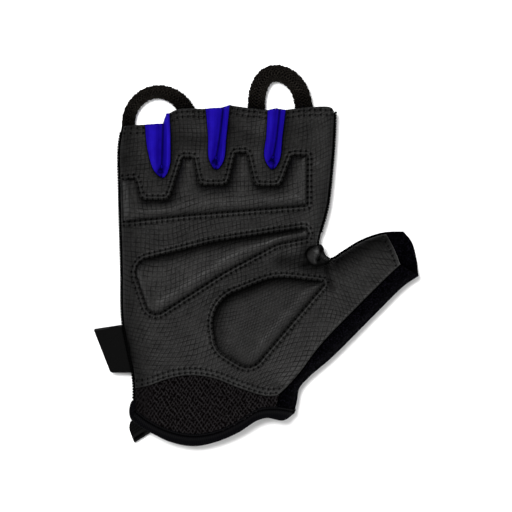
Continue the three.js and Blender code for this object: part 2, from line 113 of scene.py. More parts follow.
# The outline seen from above, in runs between the openings
LITTLE_SIDE = ((-62.9, 60.4), (-64.5, 51), (-64.4, 30), (-63.4, -6), (-62.9, -30), (-60.4, -44), (-58, -56),
               (-57.6, -66), (-59.2, -76))
INNER_SIDE = ((37.2, 69), (36.8, 56), (35.6, 40), (33.5, 22), (30.2, 10), (29.4, 5.4), (31, 1.4),
              (34.4, -0.9), (39.5, 2), (46.5, 6.4), (53, 9.3), (60, 11.1), (68.5, 11.4))
THUMB_TIP = ((68.5, 11.4), (72.6, 6.5), (75, -2), (75.6, -9.6))
THUMB_OUTER = ((75.6, -9.6), (69, -14), (57, -25.7), (35.2, -47.5), (24.2, -57), (20, -62), (19.1, -67),
               (17.9, -72.6))

# The hems of the four fingers and of the thumb's leather, each from the palm's left to its right
HEMS = {
    "little": ((-61.9, 60.4), (-51.6, 60.8)),
    "ring": ((-40.6, 66.2), (-36.6, 67.9), (-23.4, 68.2)),
    "middle": ((-12.6, 70), (-4.8, 68.7), (5.4, 67.6)),
    "index": ((13.4, 67.8), (24, 68.9), (33.6, 69.2), (35.4, 68.5), (36.1, 66.9)),
    "thumb": ((66.8, -4.2), (63.9, 3.2), (60.4, 10.1)),
}
# The index finger's hem without its corner, which the rows of stitches follow
INDEX_STRAIGHT = ((13.4, 67.8), (24, 68.9), (37, 69.2))

# The slots that the gussets fill, down the left edge, round the crotch and up the right edge
SLOTS = (
    ((-51.6, 60.8), (-50.3, 49), (-47.2, 39.2), (-43.3, 36.2), (-40.6, 41), (-40.1, 54), (-40.6, 66.2)),
    ((-23.4, 68.2), (-22.3, 56), (-21.8, 44.6), (-18.8, 40), (-15.6, 43.6), (-14.1, 56), (-12.6, 70)),
    ((5.4, 67.6), (4.8, 56), (3.9, 45.4), (7.3, 40.1), (10.4, 44), (11.9, 56), (13.4, 67.8)),
)
SLOT_HEMS = (((-42, 66.1), (-43.6, 61.5)), ((-16.6, 68.9),), ((9.4, 68.6),))
CREASES = (
    ((-44.2, 41), (-43.9, 50), (-43.4, 68)),
    ((-18.9, 45), (-17.4, 54), (-15.2, 72)),
    ((7.6, 45.4), (9.2, 54), (11, 71)),
)
# The short folds below each crease, where the cloth spreads round the crotch
CROTCH_FOLDS = (
    (((-44.2, 41.6), (-45.8, 38.9)), ((-44.2, 41.6), (-43.6, 38.6))),
    (((-18.9, 45.6), (-20.6, 43.3)), ((-18.9, 45.6), (-18.3, 42.4))),
    (((7.6, 46), (5.9, 43.7)), ((7.6, 46), (8.2, 42.8))),
)

PALM_HEM = ((-56.7, -62), (-49.3, -60.2), (-40, -57), (-31, -55.6), (-20, -57), (-8, -61.6), (4, -65.2),
            (10.6, -65))
TERRY_SEAM = ((10.6, -65), (19.6, -55), (30, -41.2), (48.5, -22), (60, -10.6), (66.8, -4.2))
BINDING_TOP = ((-57.2, -70.4), (-50, -76), (-40, -80.8), (-29.3, -82.8), (-18, -81), (-7, -75.6), (0.5, -71),
               (9, -70), (18.4, -71.6))
BINDING_BOTTOM = ((-58.8, -75), (-57, -77.4), (-49.2, -82.2), (-40, -86.6), (-29, -88.6), (-18, -86.4),
                  (-8, -82), (0, -76.8), (5, -75.4), (12.5, -76.6), (17.6, -73.6))
# The corner where the net, the terry and the binding meet, and the round corner of the leather's hem above it
WRIST_CORNER = (9, -70)
HEM_CORNER = ((6.5, -65.4), (9.6, -64.9), (11.7, -63.3), (13.6, -61.6))
BACK_HEM = ((-59.2, -76), (-40, -79), (-20, -78), (0, -74), (17.9, -72.6))
TERRY_BACK_SEAM = ((34.4, -0.9), (26, -18), (16, -42), (9, -73.4))

# The padded panels: straight runs between corners of these radii
KNUCKLE_PAD = (
    (-64.4, 36.8, 1.5), (-54.8, 37.8, 2.6), (-52.2, 27.8, 1.8), (-42, 27.8, 1.8), (-35.8, 47.4, 2.8),
    (-27.8, 47.4, 2.8), (-25.2, 34.6, 1.8), (-14.9, 34.6, 1.8), (-11.4, 49.6, 3), (-3, 49.6, 3),
    (0.6, 34.2, 1.8), (9.6, 34.2, 1.8), (15, 48.4, 2.7), (25.4, 48.4, 2.5), (25.2, 21.6, 2.5),
    (-30, 17.2, 40), (-63.6, 13.6, 2.5),
)
PALM_PAD = ((25.8, 15.5, 4.4), (-20, 8.4, 80), (-60.4, -1.6, 9), (-50.4, -32.6, 7), (-14, -9.2, 60),
            (10, 3.6, 20), (25.8, 6.8, 3.6))
THUMB_PAD = ((36, -10.4, 3), (8, -7.4, 30), (-24.4, -20.4, 18), (-20.6, -45, 12), (-2.4, -56, 9),
             (14, -36.4, 60))

# The pull loops: the middle line of each flat braid and its width
LOOPS = (
    ((-59.8, 61.3, 5.4), (-58.9, 66.8, 5.4), (-56, 71.6, 5.4), (-51.6, 75, 5.4), (-45.6, 76.4, 5.6),
     (-39.4, 74.7, 6.2), (-34.8, 71, 6.8), (-31.8, 66, 7), (-30.6, 61, 7)),
    ((0, 61, 7.4), (-0.1, 69, 7.4), (0.8, 77, 7.4), (4, 83, 7.2), (8.8, 85, 7.2), (15, 83, 7.4),
     (19.6, 78, 7.4), (21.8, 71, 7.6), (22.6, 62, 7.6)),
)
# Where each braid runs on to inside the fingers
LOOP_ENDS = (((-59.4, 58.2, 5.0), (-30.4, 57, 7)), ((0, 57, 7.4), (23, 58, 7.6)))
LOOP_THICK = 2.6
LOOP_Z = 2.6
LOOP_CLIMB = 1.4

LABEL = ((-76, -34.2, 0.6), (-61.4, -32, 0.6), (-57.4, -54.6, 0.6), (-68, -54.6, 1))
LABEL_FOLD = ((-75.4, -34.6), (-62.4, -32.7))
LABEL_HALF = 0.3
STRAP = ((13, -48, 3), (13, -70, 3), (-28, -75.4, 30), (-50.3, -78.3, 0.6), (-57, -78.4, 1.2), (-57, -50, 5))

# The folded tab at the strap's end: its place, turn and size, how far back it is rooted, how far its root
# leans to one side, and the thickness of its webbing
TAB = {"x": -56, "y": -80, "turn": -1.0, "length": 5.8, "width": 9.8, "fold": 4.4, "foot": 0.2}
TAB_ROOT = 3.6
TAB_LEAN = 1.2
WEBBING = 1.6

# Soft folds in the leather: two ends, width and depth. Each has a low bank beside it.
BANK_HEIGHT = 0.5
BANK_AT = 1.9
WRINKLES = (
    (29.5, 30, 35.5, 34, 1.6, 0.5),
    (28, 41, 35.5, 38, 1.8, 0.45),
    (29, 21, 33, 16, 1.4, 0.5),
    (10, 0, 24, 0.5, 3.2, 1.1),
    (-12, -5, 8, 0, 4, 0.6),
    (20, -3.6, 25, -2, 1.4, 0.6),
    (31.8, -5, 34.6, -15, 1.2, 1.0),
    (33, -2.5, 46, -3.5, 1.8, 0.45),
    (-38, 53.5, -26, 54, 3.6, 1.0),
    (-12, 55, 2, 55, 3.6, 1.0),
    (14, 54, 33, 53, 3.2, 0.6),
    (-62, 44, -52, 43, 3.2, 0.6),
    (-60, -44, -48, -40, 2.6, 0.4),
)

# Painted shade on the leather, in its folds and along some of its edges: two ends, width and amount
SHADES = (
    (12, -2, 28, -5, 4.4, 0.6),
    (31.6, -4.5, 34.8, -15, 1.5, 0.65),
    (22, 2, 24, 6, 2.2, 0.35),
    (-37.5, 54.5, -25, 54, 3.4, 0.45),
    (-12.5, 58.5, -4, 56, 3.2, 0.45),
    (14.5, 58.5, 24, 57.5, 3, 0.35),
    (-61, 45, -52, 44, 3, 0.3),
    (30.5, 33, 30.5, 22, 3, 0.3),
    (-26, 6, 18, 13.5, 1.6, 0.35),
    (-20, -19, 6, -8.5, 1.6, 0.35),
    (36.8, 66, 35.9, 42, 2.0, 0.85),
    (35.9, 42, 31.1, 12, 2.0, 0.8),
    (22, 5, 21.5, -4, 2, 0.5),
    (24, -6, 36, -5, 2.6, 0.55),
    (38, 1, 63, 9.5, 6, 0.75),
    (-40.4, 44, -40.6, 66, 2.0, 0.5),
    (-14.2, 48, -12.8, 69, 1.8, 0.35),
    (11.6, 48, 13.2, 67, 1.8, 0.3),
)
# How far from the side seams the painted shade starts, and how dark it is there, at slots and at the knot
SHADE_REACH = 9
SHADE_EDGE = 0.96
SHADE_SLOT = 0.45
SHADE_KNOT = 0.9

# The knot where the leather is gathered at the root of the thumb: its rim, and its valley from the hollow up
KNOT_RIM = ((27.4, 4.6), (24.4, 3.2), (22.9, 0.5), (23.9, -2.5), (26.4, -4.2), (29, -4.3), (32, -3.6),
            (34.6, -1.9), (32.4, 0), (31.5, 1.8), (31.3, 3.5), (29.9, 5.2), (27.4, 4.6))
KNOT_VALLEY = ((28.3, -1.9), (29.2, 0.4), (30.1, 3.6))
KNOT_RISE = 1.35
KNOT_ROUND = 2.3
PLEATS = 9

# Lines and outlines: points on each span of a curve, the share of a step within which two points are one, and
# the sharpest corner that an inset outline keeps
SPAN_POINTS = 40
SAME_POINT = 0.4
SHARPEST = 0.5

# How a plan is filled with points: its grid's rows and how far their points wander, and the room round the
# grid's points, the rim's and the rings'
GRID_ROWS = 0.866
GRID_WANDER = 0.12
GRID_ROOM = 0.62
RIM_ROOM = 0.12
RING_ROOM = 0.3
# How thick a sheet still is at its rolled edge
RIM_THICK = 0.25


def resampled(line, step, multiple=1):
    """The line again, in even steps close to this one, with a count that divides by multiple."""
    line = np.asarray(line, float)
    run = np.concatenate([[0], np.cumsum(np.linalg.norm(np.diff(line, axis=0), axis=1))])
    count = max(1, round(run[-1] / step / multiple)) * multiple
    at = np.linspace(0, run[-1], count + 1)
    return np.stack([np.interp(at, run, column) for column in line.T], axis=1)


def curve(rows, step=0.5):
    """A smooth line through the rows, the centripetal Catmull-Rom curve that the solids use."""
    rows = np.asarray(rows, float)
    if len(rows) == 2:
        return resampled(rows, step)
    knots = np.vstack([2 * rows[0] - rows[1], rows, 2 * rows[-1] - rows[-2]])
    runs = []
    t = np.linspace(0, 1, SPAN_POINTS, endpoint=False)[:, None]
    for p0, p1, p2, p3 in zip(knots, knots[1:], knots[2:], knots[3:]):
        d0, d1, d2 = (math.sqrt(np.linalg.norm((b - a)[:2])) for a, b in ((p0, p1), (p1, p2), (p2, p3)))
        out = ((p1 - p0) / d0 - (p2 - p0) / (d0 + d1) + (p2 - p1) / d1) * d1
        into = ((p2 - p1) / d1 - (p3 - p1) / (d1 + d2) + (p3 - p2) / d2) * d1
        square = 3 * (p2 - p1) - 2 * out - into
        cube = 2 * (p1 - p2) + out + into
        runs.append(p1 + out * t + square * t**2 + cube * t**3)
    return resampled(np.vstack([*runs, rows[-1:]]), step)


def left_of(line):
    """Unit vectors to the left of each point's direction of travel."""
    along = np.gradient(line, axis=0)
    along /= np.linalg.norm(along, axis=1, keepdims=True)
    return np.stack([-along[:, 1], along[:, 0]], axis=1)


def shifted(line, distance):
    """A line moved to its left, or to its right where distance is negative."""
    return line + left_of(line) * distance


def nearest(line, point):
    """The index of the line's point nearest to this one."""
    return int(np.argmin(np.linalg.norm(line - np.asarray(point, float), axis=1)))


def between(line, start, end):
    """The part of a line between the points nearest to two others, in that direction."""
    a, b = nearest(line, start), nearest(line, end)
    return line[a : b + 1] if a <= b else line[b : a + 1][::-1]


def area_of(outline):
    x, y = outline.T
    return 0.5 * np.sum(x * np.roll(y, -1) - np.roll(x, -1) * y)


def closed(runs, step):
    """Joins runs of points into one closed outline, counter-clockwise, each run in even steps."""
    points = []
    for run in runs:
        for p in resampled(run, step):
            if not points or np.linalg.norm(points[-1] - p) > SAME_POINT * step:
                points.append(p)
    while np.linalg.norm(points[0] - points[-1]) < SAME_POINT * step:
        points.pop()
    outline = np.array(points)
    return outline if area_of(outline) > 0 else outline[::-1]


def inset(outline, distance):
    """A closed outline moved inwards, or outwards where distance is negative."""
    into = outline - np.roll(outline, 1, axis=0)
    out = np.roll(outline, -1, axis=0) - outline
    into /= np.linalg.norm(into, axis=1, keepdims=True)
    out /= np.linalg.norm(out, axis=1, keepdims=True)
    bisector = np.stack([-into[:, 1] - out[:, 1], into[:, 0] + out[:, 0]], axis=1)
    bisector /= np.linalg.norm(bisector, axis=1, keepdims=True)
    reach = np.maximum(SHARPEST, np.sum(bisector * np.stack([-into[:, 1], into[:, 0]], axis=1), axis=1))
    return outline + bisector * (distance / reach)[:, None]


def rounded(corners, step=0.5):
    """A closed outline with straight sides and round corners."""
    corners = np.asarray(corners, float)
    at, radii = corners[:, :2], corners[:, 2]
    arcs = []
    for i, (corner, radius) in enumerate(zip(at, radii)):
        before = at[i - 1] - corner
        after = at[(i + 1) % len(at)] - corner
        before /= np.linalg.norm(before)
        after /= np.linalg.norm(after)
        half = math.acos(float(np.dot(before, after))) / 2
        bisector = (before + after) / np.linalg.norm(before + after)
        centre = corner + bisector * radius / math.sin(half)
        start = corner + before * radius / math.tan(half) - centre
        end = corner + after * radius / math.tan(half) - centre
        turn = math.atan2(start[0] * end[1] - start[1] * end[0], float(np.dot(start, end)))
        angles = np.linspace(0, turn, max(3, math.ceil(abs(turn) * radius / step)) + 1)
        arcs.append(np.stack([
            centre[0] + start[0] * np.cos(angles) - start[1] * np.sin(angles),
            centre[1] + start[0] * np.sin(angles) + start[1] * np.cos(angles),
        ], axis=1))
    runs = []
    for i, arc in enumerate(arcs):
        runs += [arc, np.stack([arc[-1], arcs[(i + 1) % len(arcs)][0]])]
    return closed(runs, step)


def distance(points, line, loop=False):
    """How far each point is from a line."""
    starts = line if loop else line[:-1]
    ends = np.roll(line, -1, axis=0) if loop else line[1:]
    best = np.full(len(points), np.inf)
    x, y = points[:, 0], points[:, 1]
    for (ax, ay), (bx, by) in zip(starts, ends):
        dx, dy = bx - ax, by - ay
        t = np.clip(((x - ax) * dx + (y - ay) * dy) / (dx * dx + dy * dy + 1e-12), 0, 1)
        best = np.minimum(best, (x - ax - t * dx) ** 2 + (y - ay - t * dy) ** 2)
    return np.sqrt(best)


def inside(points, outline):
    odd = np.zeros(len(points), bool)
    x, y = points[:, 0], points[:, 1]
    for (ax, ay), (bx, by) in zip(outline, np.roll(outline, -1, axis=0)):
        if ay != by:
            odd ^= ((ay > y) != (by > y)) & (x < (bx - ax) * (y - ay) / (by - ay) + ax)
    return odd


def signed(points, outline):
    """How far inside an outline each point is, less than nothing outside it."""
    return distance(points, outline, loop=True) * np.where(inside(points, outline), 1, -1)


def tree_of(points):
    tree = KDTree(len(points))
    for i, (x, y) in enumerate(points):
        tree.insert((x, y, 0), i)
    tree.balance()
    return tree


def to_nearest(points, tree):
    return np.array([tree.find((x, y, 0))[2] for x, y in points])


def filled(outline, step, lines=(), rings=(0.22, 0.6, 1.3), room=0.3):
    """Points and triangles that fill an outline, with points kept along its rim and along these lines."""
    groups = [(inset(outline, depth), RIM_ROOM + RING_ROOM * depth) for depth in rings]
    groups += [(line, room) for line in lines]
    low, high = outline.min(axis=0), outline.max(axis=0)
    rows = np.arange(low[1], high[1], step * GRID_ROWS)
    grid = np.vstack([
        np.stack([x := np.arange(low[0] + (k % 2) * step / 2, high[0], step), np.full(len(x), y)], axis=1)
        for k, y in enumerate(rows)
    ])
    grid += rng.uniform(-GRID_WANDER, GRID_WANDER, grid.shape) * step
    groups.append((grid, GRID_ROOM * step))
    kept = outline
    for points, space in groups:
        points = points[inside(points, outline)]
        if len(points):
            points = points[distance(points, outline, loop=True) > min(space, RIM_ROOM)]
        if len(points):
            kept = np.vstack([kept, points[to_nearest(points, tree_of(kept)) > space]])
    count = len(outline)
    rim = [(i, (i + 1) % count) for i in range(count)]
    points, _, triangles, *_ = delaunay_2d_cdt([tuple(p) for p in kept], rim, [], 0, 1e-6, False)
    points = np.array([tuple(p) for p in points])
    triangles = np.array([f for f in triangles if len(f) == 3])
    middle = points[triangles].mean(axis=1)
    return points, triangles[inside(middle, outline)]


def boundary(triangles):
    """The edges that only one triangle has."""
    edges = {}
    for a, b, c in triangles.tolist():
        for edge in ((a, b), (b, c), (c, a)):
            if edges.pop(edge[::-1], None) is None:
                edges[edge] = True
    return np.array(list(edges))


def shell(plan, outline, under, top, roll=1.0):
    """A closed sheet over a plan, its edge rolled round. Gives its points in space and its faces."""
    points, triangles = plan
    low, high = under(points), top(points)
    half = (high - low) / 2
    depth = np.clip(distance(points, outline, loop=True) / np.maximum(half * roll, 1e-6), 0, 1)
    thin = half * (RIM_THICK + (1 - RIM_THICK) * np.sqrt(1 - (1 - depth) ** 2))
    middle = (high + low) / 2
    bottom = np.column_stack([points, middle - thin])
    upper = np.column_stack([points, middle + thin])
    count = len(points)
    rim = boundary(triangles)
    sides = np.vstack([
        np.column_stack([rim[:, 0], rim[:, 1], rim[:, 1] + count]),
        np.column_stack([rim[:, 0], rim[:, 1] + count, rim[:, 0] + count]),
    ])
    return np.vstack([bottom, upper]), np.vstack([triangles[:, ::-1], triangles + count, sides]).tolist()


def joined(*parts):
    """Several lots of points and faces as one."""
    points, faces = [], []
    for p, f in parts:
        shift = sum(len(q) for q in points)
        points.append(p)
        faces += [[i + shift for i in face] for face in f]
    return np.vstack(points), faces


def loft(sections):
    """A closed tube through rows of points, each row a closed loop in space, with its ends filled."""
    stations, around = sections.shape[:2]
    faces = []
    for s in range(stations - 1):
        for k in range(around):
            n = (k + 1) % around
            faces.append([s * around + k, s * around + n, (s + 1) * around + n, (s + 1) * around + k])
    faces.append(list(range(around))[::-1])
    faces.append([(stations - 1) * around + k for k in range(around)])
    return sections.reshape(-1, 3), faces


def tube(line, z, wide, high, around=14, taper=1):
    """An oval tube along a line in plan, thinned by a factor for each of its points."""
    side = left_of(line)
    turn = np.linspace(0, 2 * math.pi, around, endpoint=False)
    full = np.broadcast_to(taper, len(line))[:, None]
    across = side[:, None, :] * (full * wide * np.cos(turn))[:, :, None] + line[:, None, :]
    up = z + full * high * np.sin(turn)
    return loft(np.concatenate([across, up[:, :, None]], axis=2)[:, ::-1])


def smoothstep(v, low, high):
    t = np.clip((v - low) / (high - low), 0, 1)
    return t * t * (3 - 2 * t)


def hill(v, width):
    """1 where v is nothing, falling away on both sides over this width."""
    return np.exp(-((v / width) ** 2))


little_side = curve(LITTLE_SIDE)
inner_side = curve(INNER_SIDE)
thumb_tip = curve(THUMB_TIP)
thumb_outer = curve(THUMB_OUTER)
palm_hem = curve(PALM_HEM)
terry_seam = curve(TERRY_SEAM)
binding_top = curve(BINDING_TOP)
binding_bottom = curve(BINDING_BOTTOM)
back_hem = curve(BACK_HEM)
terry_back_seam = curve(TERRY_BACK_SEAM)
slots = [curve(rows) for rows in SLOTS]
creases = [curve(rows) for rows in CREASES]
hems = {name: curve(rows) for name, rows in HEMS.items()}

# The distance to the nearest seam, kept on a grid that the form reads
SEAM_GRID = 0.5
grid_x = np.arange(-82, 82, SEAM_GRID)
grid_y = np.arange(-94, 94, SEAM_GRID)
grid_points = np.stack(np.meshgrid(grid_x, grid_y), axis=-1).reshape(-1, 2)
seam_runs = [resampled(line, 3) for line in (little_side, inner_side, thumb_outer, *creases)]
seam_map = np.min([distance(grid_points, line) for line in seam_runs], axis=0)
seam_map = seam_map.reshape(len(grid_y), len(grid_x))


def fullness(p):
    """0 at a seam, 1 where the cloth has turned level."""
    u = np.clip((p[:, 0] - grid_x[0]) / SEAM_GRID, 0, len(grid_x) - 1.001)
    v = np.clip((p[:, 1] - grid_y[0]) / SEAM_GRID, 0, len(grid_y) - 1.001)
    i, j = u.astype(int), v.astype(int)
    u, v = u - i, v - j
    far = (seam_map[j, i] * (1 - u) + seam_map[j, i + 1] * u) * (1 - v)
    far += (seam_map[j + 1, i] * (1 - u) + seam_map[j + 1, i + 1] * u) * v
    s = np.clip((far - SEAM_FLAT) / ROUND, 0, 1)
    return np.sqrt(s * (2 - s))


def crown(p):
    """How high the palm stands over its seams where it is full."""
    rise = np.full(len(p), float(CROWN[0][1]))
    for (y0, low), (y1, high) in zip(CROWN, CROWN[1:]):
        rise += (high - low) * smoothstep(p[:, 1], y0, y1)
    return rise - THUMB_DROP * smoothstep(p[:, 0], *THUMB_FALL)


def gather(p):
    """The puckered knot of leather where the thumb leaves the palm."""
    dx, dy = p[:, 0] - GATHER["x"], p[:, 1] - GATHER["y"]
    t = np.minimum(1, np.hypot(dx, dy) / GATHER["radius"])
    return GATHER["height"] * (1 + np.cos(math.pi * t)) / 2


# Slow waves that cross on the leather: how many, their lengths and how high each is
WAVE_COUNT = 9
WAVE_LONG = (16, 42)
WAVE_HIGH = 0.075
WAVES = [(2 * math.pi / rng.uniform(*WAVE_LONG), rng.uniform(0, 2 * math.pi), rng.uniform(0, 6.3))
         for _ in range(WAVE_COUNT)]


def undulation(p):
    """The leather's slow uneven waves."""
    total = np.zeros(len(p))
    for k, angle, phase in WAVES:
        total += np.sin(k * (p[:, 0] * math.cos(angle) + p[:, 1] * math.sin(angle)) + phase)
    return WAVE_HIGH * total


def from_run(p, x0, y0, x1, y1):
    return distance(p, np.array([(x0, y0), (x1, y1)], float))


def wrinkled(p):
    """The leather's soft folds."""
    total = np.zeros(len(p))
    for *ends, width, depth in WRINKLES:
        off = from_run(p, *ends)
        total -= depth * hill(off, width)
        total += BANK_HEIGHT * depth * hill(off - BANK_AT * width, width)
    return total


def palm_under(p):
    """The underside of the palm's walls."""
    return SEAM_Z + GAP / 2 + crown(p) * fullness(p) + gather(p)


def strap_lift(p):
    """How far the back is lifted by the strap under it."""
    return STRAP_ROOM * smoothstep(-p[:, 1], -STRAP_TOP_Y - STRAP_STEP, -STRAP_TOP_Y)


def back_under(thickness):
    """The underside of a wall of the back, as a height."""
    def height(p):
        level = fullness(p)
        return (SEAM_Z - GAP / 2 - thickness) * (1 - level) + strap_lift(p) * level
    return height


def over(height, thickness):
    return lambda p: height(p) + thickness


# The leather's outline, and the rows of stitches on it
finger_edge = [hems["index"][::-1], slots[2][::-1], hems["middle"][::-1], slots[1][::-1], hems["ring"][::-1],
               slots[0][::-1], hems["little"][::-1]]
leather_little_side = shifted(between(little_side, little_side[0], palm_hem[0]), LIP)
leather_inner_side = shifted(between(inner_side, hems["thumb"][-1], hems["index"][-1]), LIP)
hem_corner = curve(HEM_CORNER)
leather_outline = inset(closed([
    leather_little_side,
    between(palm_hem, palm_hem[0], hem_corner[0]),
    hem_corner,
    between(terry_seam, hem_corner[-1], terry_seam[-1]),
    hems["thumb"],
    leather_inner_side,
    *finger_edge,
], 0.8), GAP / 2)

pad_outlines = [rounded(corners) for corners in (KNUCKLE_PAD, PALM_PAD, THUMB_PAD)]
sewn = inset(leather_outline, PAD_ROWS_END)


def kept_runs(line, outline):
    """The runs of a line's points that lie inside an outline."""
    mask = inside(line, outline)
    cuts = np.flatnonzero(np.diff(mask.astype(int))) + 1
    return [part for part, ok in zip(np.split(line, cuts), np.split(mask, cuts)) if ok[0] and len(part) > 4]


def looped(outline):
    return np.vstack([outline, outline[:1]])


def pad_row(outline, depth):
    """A row of stitches round a pad, cut where the pad runs into the side seam."""
    ring = inset(outline, depth)
    outside = np.flatnonzero(~inside(ring, sewn))
    if len(outside):
        ring = np.roll(ring, -int(outside[-1]) - 1, axis=0)
    return kept_runs(ring if len(outside) else looped(ring), sewn)


straight_hem = {name: hem[hem[:, 1] > hem[:, 1].max() - 3] for name, hem in hems.items()}
straight_hem["index"] = curve(INDEX_STRAIGHT)
hem_area = inset(leather_outline, FINGER_ROWS_END)
rows = []
for outline in pad_outlines:
    rows += pad_row(outline, 0) + pad_row(outline, ROW_GAP)
for name in ("little", "ring", "middle", "index"):
    for depth in FINGER_ROWS:
        rows += kept_runs(shifted(straight_hem[name], -depth), hem_area)
rows += kept_runs(shifted(hems["thumb"], THUMB_ROW), hem_area)
for depth in WRIST_ROWS:
    rows += kept_runs(shifted(palm_hem, depth), inset(leather_outline, WRIST_ROWS_END))
rows = [resampled(row, PITCH / ROW_POINTS, ROW_POINTS) for row in rows]
pits = np.vstack([row[::ROW_POINTS] for row in rows])
row_tree = tree_of(np.vstack([resampled(row, 0.2) for row in rows]))
pit_tree = tree_of(pits)

# The leather's height across a pad's edge, from outside to inside: low at both rows, with a crest between
RIDGE_CREST = 0.82
PAD_PROFILE = np.array([
    (-2.4, 0), (-0.95, 0.1), (0, -0.15), (RIDGE_CREST, 0.5), (ROW_GAP, -0.45), (2.35, -PAD_RECESS)])

# Where the leather is doubled or stands up beside a line: the line, by how much, and how far from it that
# begins and stops to fade
RAISED = [(hem, 0.35, *((3.2, 4.0) if name == "thumb" else (4.7, 5.5))) for name, hem in hems.items()]
RAISED += [(palm_hem, 0.4, 4.2, 5), (terry_seam, 0.25, 1.2, 3), *((slot, 0.2, 0.8, 2) for slot in slots)]


def eased(v, profile):
    """A profile of knots read with an even ease between them."""
    at, height = profile[:, 0], profile[:, 1]
    k = np.clip(np.searchsorted(at, v) - 1, 0, len(at) - 2)
    t = np.clip((v - at[k]) / (at[k + 1] - at[k]), 0, 1)
    return height[k] + (height[k + 1] - height[k]) * (1 - np.cos(math.pi * t)) / 2


def leather_relief(p):
    """What the sewing does to the leather's face: channels round the pads, double hems, grooves."""
    total = np.zeros(len(p))
    for outline in pad_outlines:
        total += eased(np.clip(signed(p, outline), PAD_PROFILE[0, 0], PAD_PROFILE[-1, 0]), PAD_PROFILE)
    for line, lift, start, end in RAISED:
        total += lift * (1 - smoothstep(distance(p, line), start, end))
    return total - ROW_GROOVE * hill(to_nearest(p, row_tree), ROW_GROOVE_WIDE)


knot_rim = closed([curve(KNOT_RIM)], 0.5)
knot_valley = curve(KNOT_VALLEY, 0.3)
knot_hollow = np.array(KNOT_VALLEY[0])


def pucker(p):
    """The crease round the knot, and the pleats that run into it."""
    out = np.maximum(0, -signed(p, knot_rim))
    turn = np.arctan2(p[:, 1] - GATHER["y"], p[:, 0] - GATHER["x"])
    return 0.4 * np.cos(PLEATS * turn + 0.6) * hill(out - 2, 1.3) - 1.1 * hill(out, 0.9)


def shade(p):
    """How much painted shade darkens the leather, in its folds and where it turns down to the side seams."""
    side = np.minimum(distance(p, resampled(little_side, 2)), 1.5 * distance(p, resampled(inner_side, 1)))
    light = 1 - SHADE_EDGE * (1 - smoothstep(side, -0.5, SHADE_REACH))
    for *ends, width, amount in SHADES:
        light *= 1 - amount * hill(from_run(p, *ends), width)
    for slot in slots:
        light *= 1 - SHADE_SLOT * (1 - smoothstep(distance(p, slot), 0.2, 2.2))
    light *= 1 - SHADE_KNOT * hill(signed(p, knot_rim), 0.8)
    return 1 - light


def leather_under(p):
    return palm_under(p) + (undulation(p) + 0.8 * wrinkled(p)) * fullness(p)


def leather_top(p):
    return leather_under(p) + LEATHER + leather_relief(p) + pucker(p)


# The materials
class Pattern:
    """A number or colour that varies over a surface, with arithmetic that adds the nodes for it."""

    def __init__(self, finish, socket):
        self.finish = finish
        self.socket = socket

    def maths(self, operation, other=0.0):
        return self.finish.node("Math", {"operation": operation}, {0: self, 1: other})

    def __add__(self, other):
        return self.maths("ADD", other)

    def __sub__(self, other):
        return self.maths("SUBTRACT", other)

    def __rsub__(self, other):
        return self * -1.0 + other

    def __mul__(self, other):
        return self.maths("MULTIPLY", other)

    __radd__ = __add__
    __rmul__ = __mul__


class Finish:
    """A material whose pattern is made of nodes. Lengths in it are millimetres."""

    def __init__(self, name, sockets):
        self.material = bpy.data.materials.new(name)
        self.material.use_nodes = True
        self.tree = self.material.node_tree
        self.shader = self.tree.nodes["Principled BSDF"]
        for socket, value in sockets.items():
            self.shader.inputs[socket].default_value = value
        place = self.node("TexCoord", {}, {}, "Object")
        self.place = self.node("VectorMath", {"operation": "SCALE"}, {0: place, "Scale": 1 / MM})

    def feed(self, socket, value):
        if isinstance(value, Pattern):
            self.tree.links.new(value.socket, socket)
        else:
            socket.default_value = value

    def node(self, kind, settings, inputs, output=0):
        made = self.tree.nodes.new("ShaderNode" + kind)
        for setting, value in settings.items():
            setattr(made, setting, value)
        for socket, value in inputs.items():
            self.feed(made.inputs[socket], value)
        return Pattern(self, made.outputs[output])

    def noise(self, size, detail=2.0, vector=None, output="Fac"):
        where = {"Vector": vector or self.place, "Scale": 1 / size, "Detail": detail}
        return self.node("TexNoise", {}, where, output)

    def wave(self, direction, settings, vector=None):
        """Even bands, 1 on each and 0 between them."""
        where = {"Vector": vector or self.place, **settings}
        return self.node("TexWave", {"bands_direction": direction}, where, "Fac")

    def part(self, vector, axis):
        """One coordinate of a vector."""
        return self.node("SeparateXYZ", {}, {0: vector}, axis)

    def shift(self, vector, colour, reach):
        """The vector moved by a colour, by up to half the reach each way."""
        moved = self.node("VectorMath", {"operation": "SUBTRACT"}, {0: colour, 1: (0.5, 0.5, 0.5)})
        scaled = self.node("VectorMath", {"operation": "SCALE"}, {0: moved, "Scale": reach})
        return self.node("VectorMath", {"operation": "ADD"}, {0: vector, 1: scaled})

    def step(self, value, low, high, start=0.0, end=1.0):
        return self.node("MapRange", {"interpolation_type": "SMOOTHSTEP"}, {
            "Value": value, "From Min": low, "From Max": high, "To Min": start, "To Max": end})

    def attribute(self, name, output="Fac"):
        return self.node("Attribute", {"attribute_name": name}, {}, output)

    def mix(self, mask, first, second):
        return self.node("Mix", {"data_type": "RGBA"}, {0: mask, 6: first, 7: second}, 2)

    def bump(self, height, strength=1.0, distance=MM):
        return self.node("Bump", {}, {"Height": height, "Strength": strength, "Distance": distance}, "Normal")

    def use(self, **inputs):
        for socket, value in inputs.items():
            self.feed(self.shader.inputs[socket.replace("_", " ")], value)
        return self.material


def grey(value, warm=0.0):
    """A grey, a little to the red where it is warm."""
    return (value * (1 + warm), value, value * (1 - warm), 1)


# Below this height the grain is counted down the glove's two long sides
SIDE_TOP = 16.0


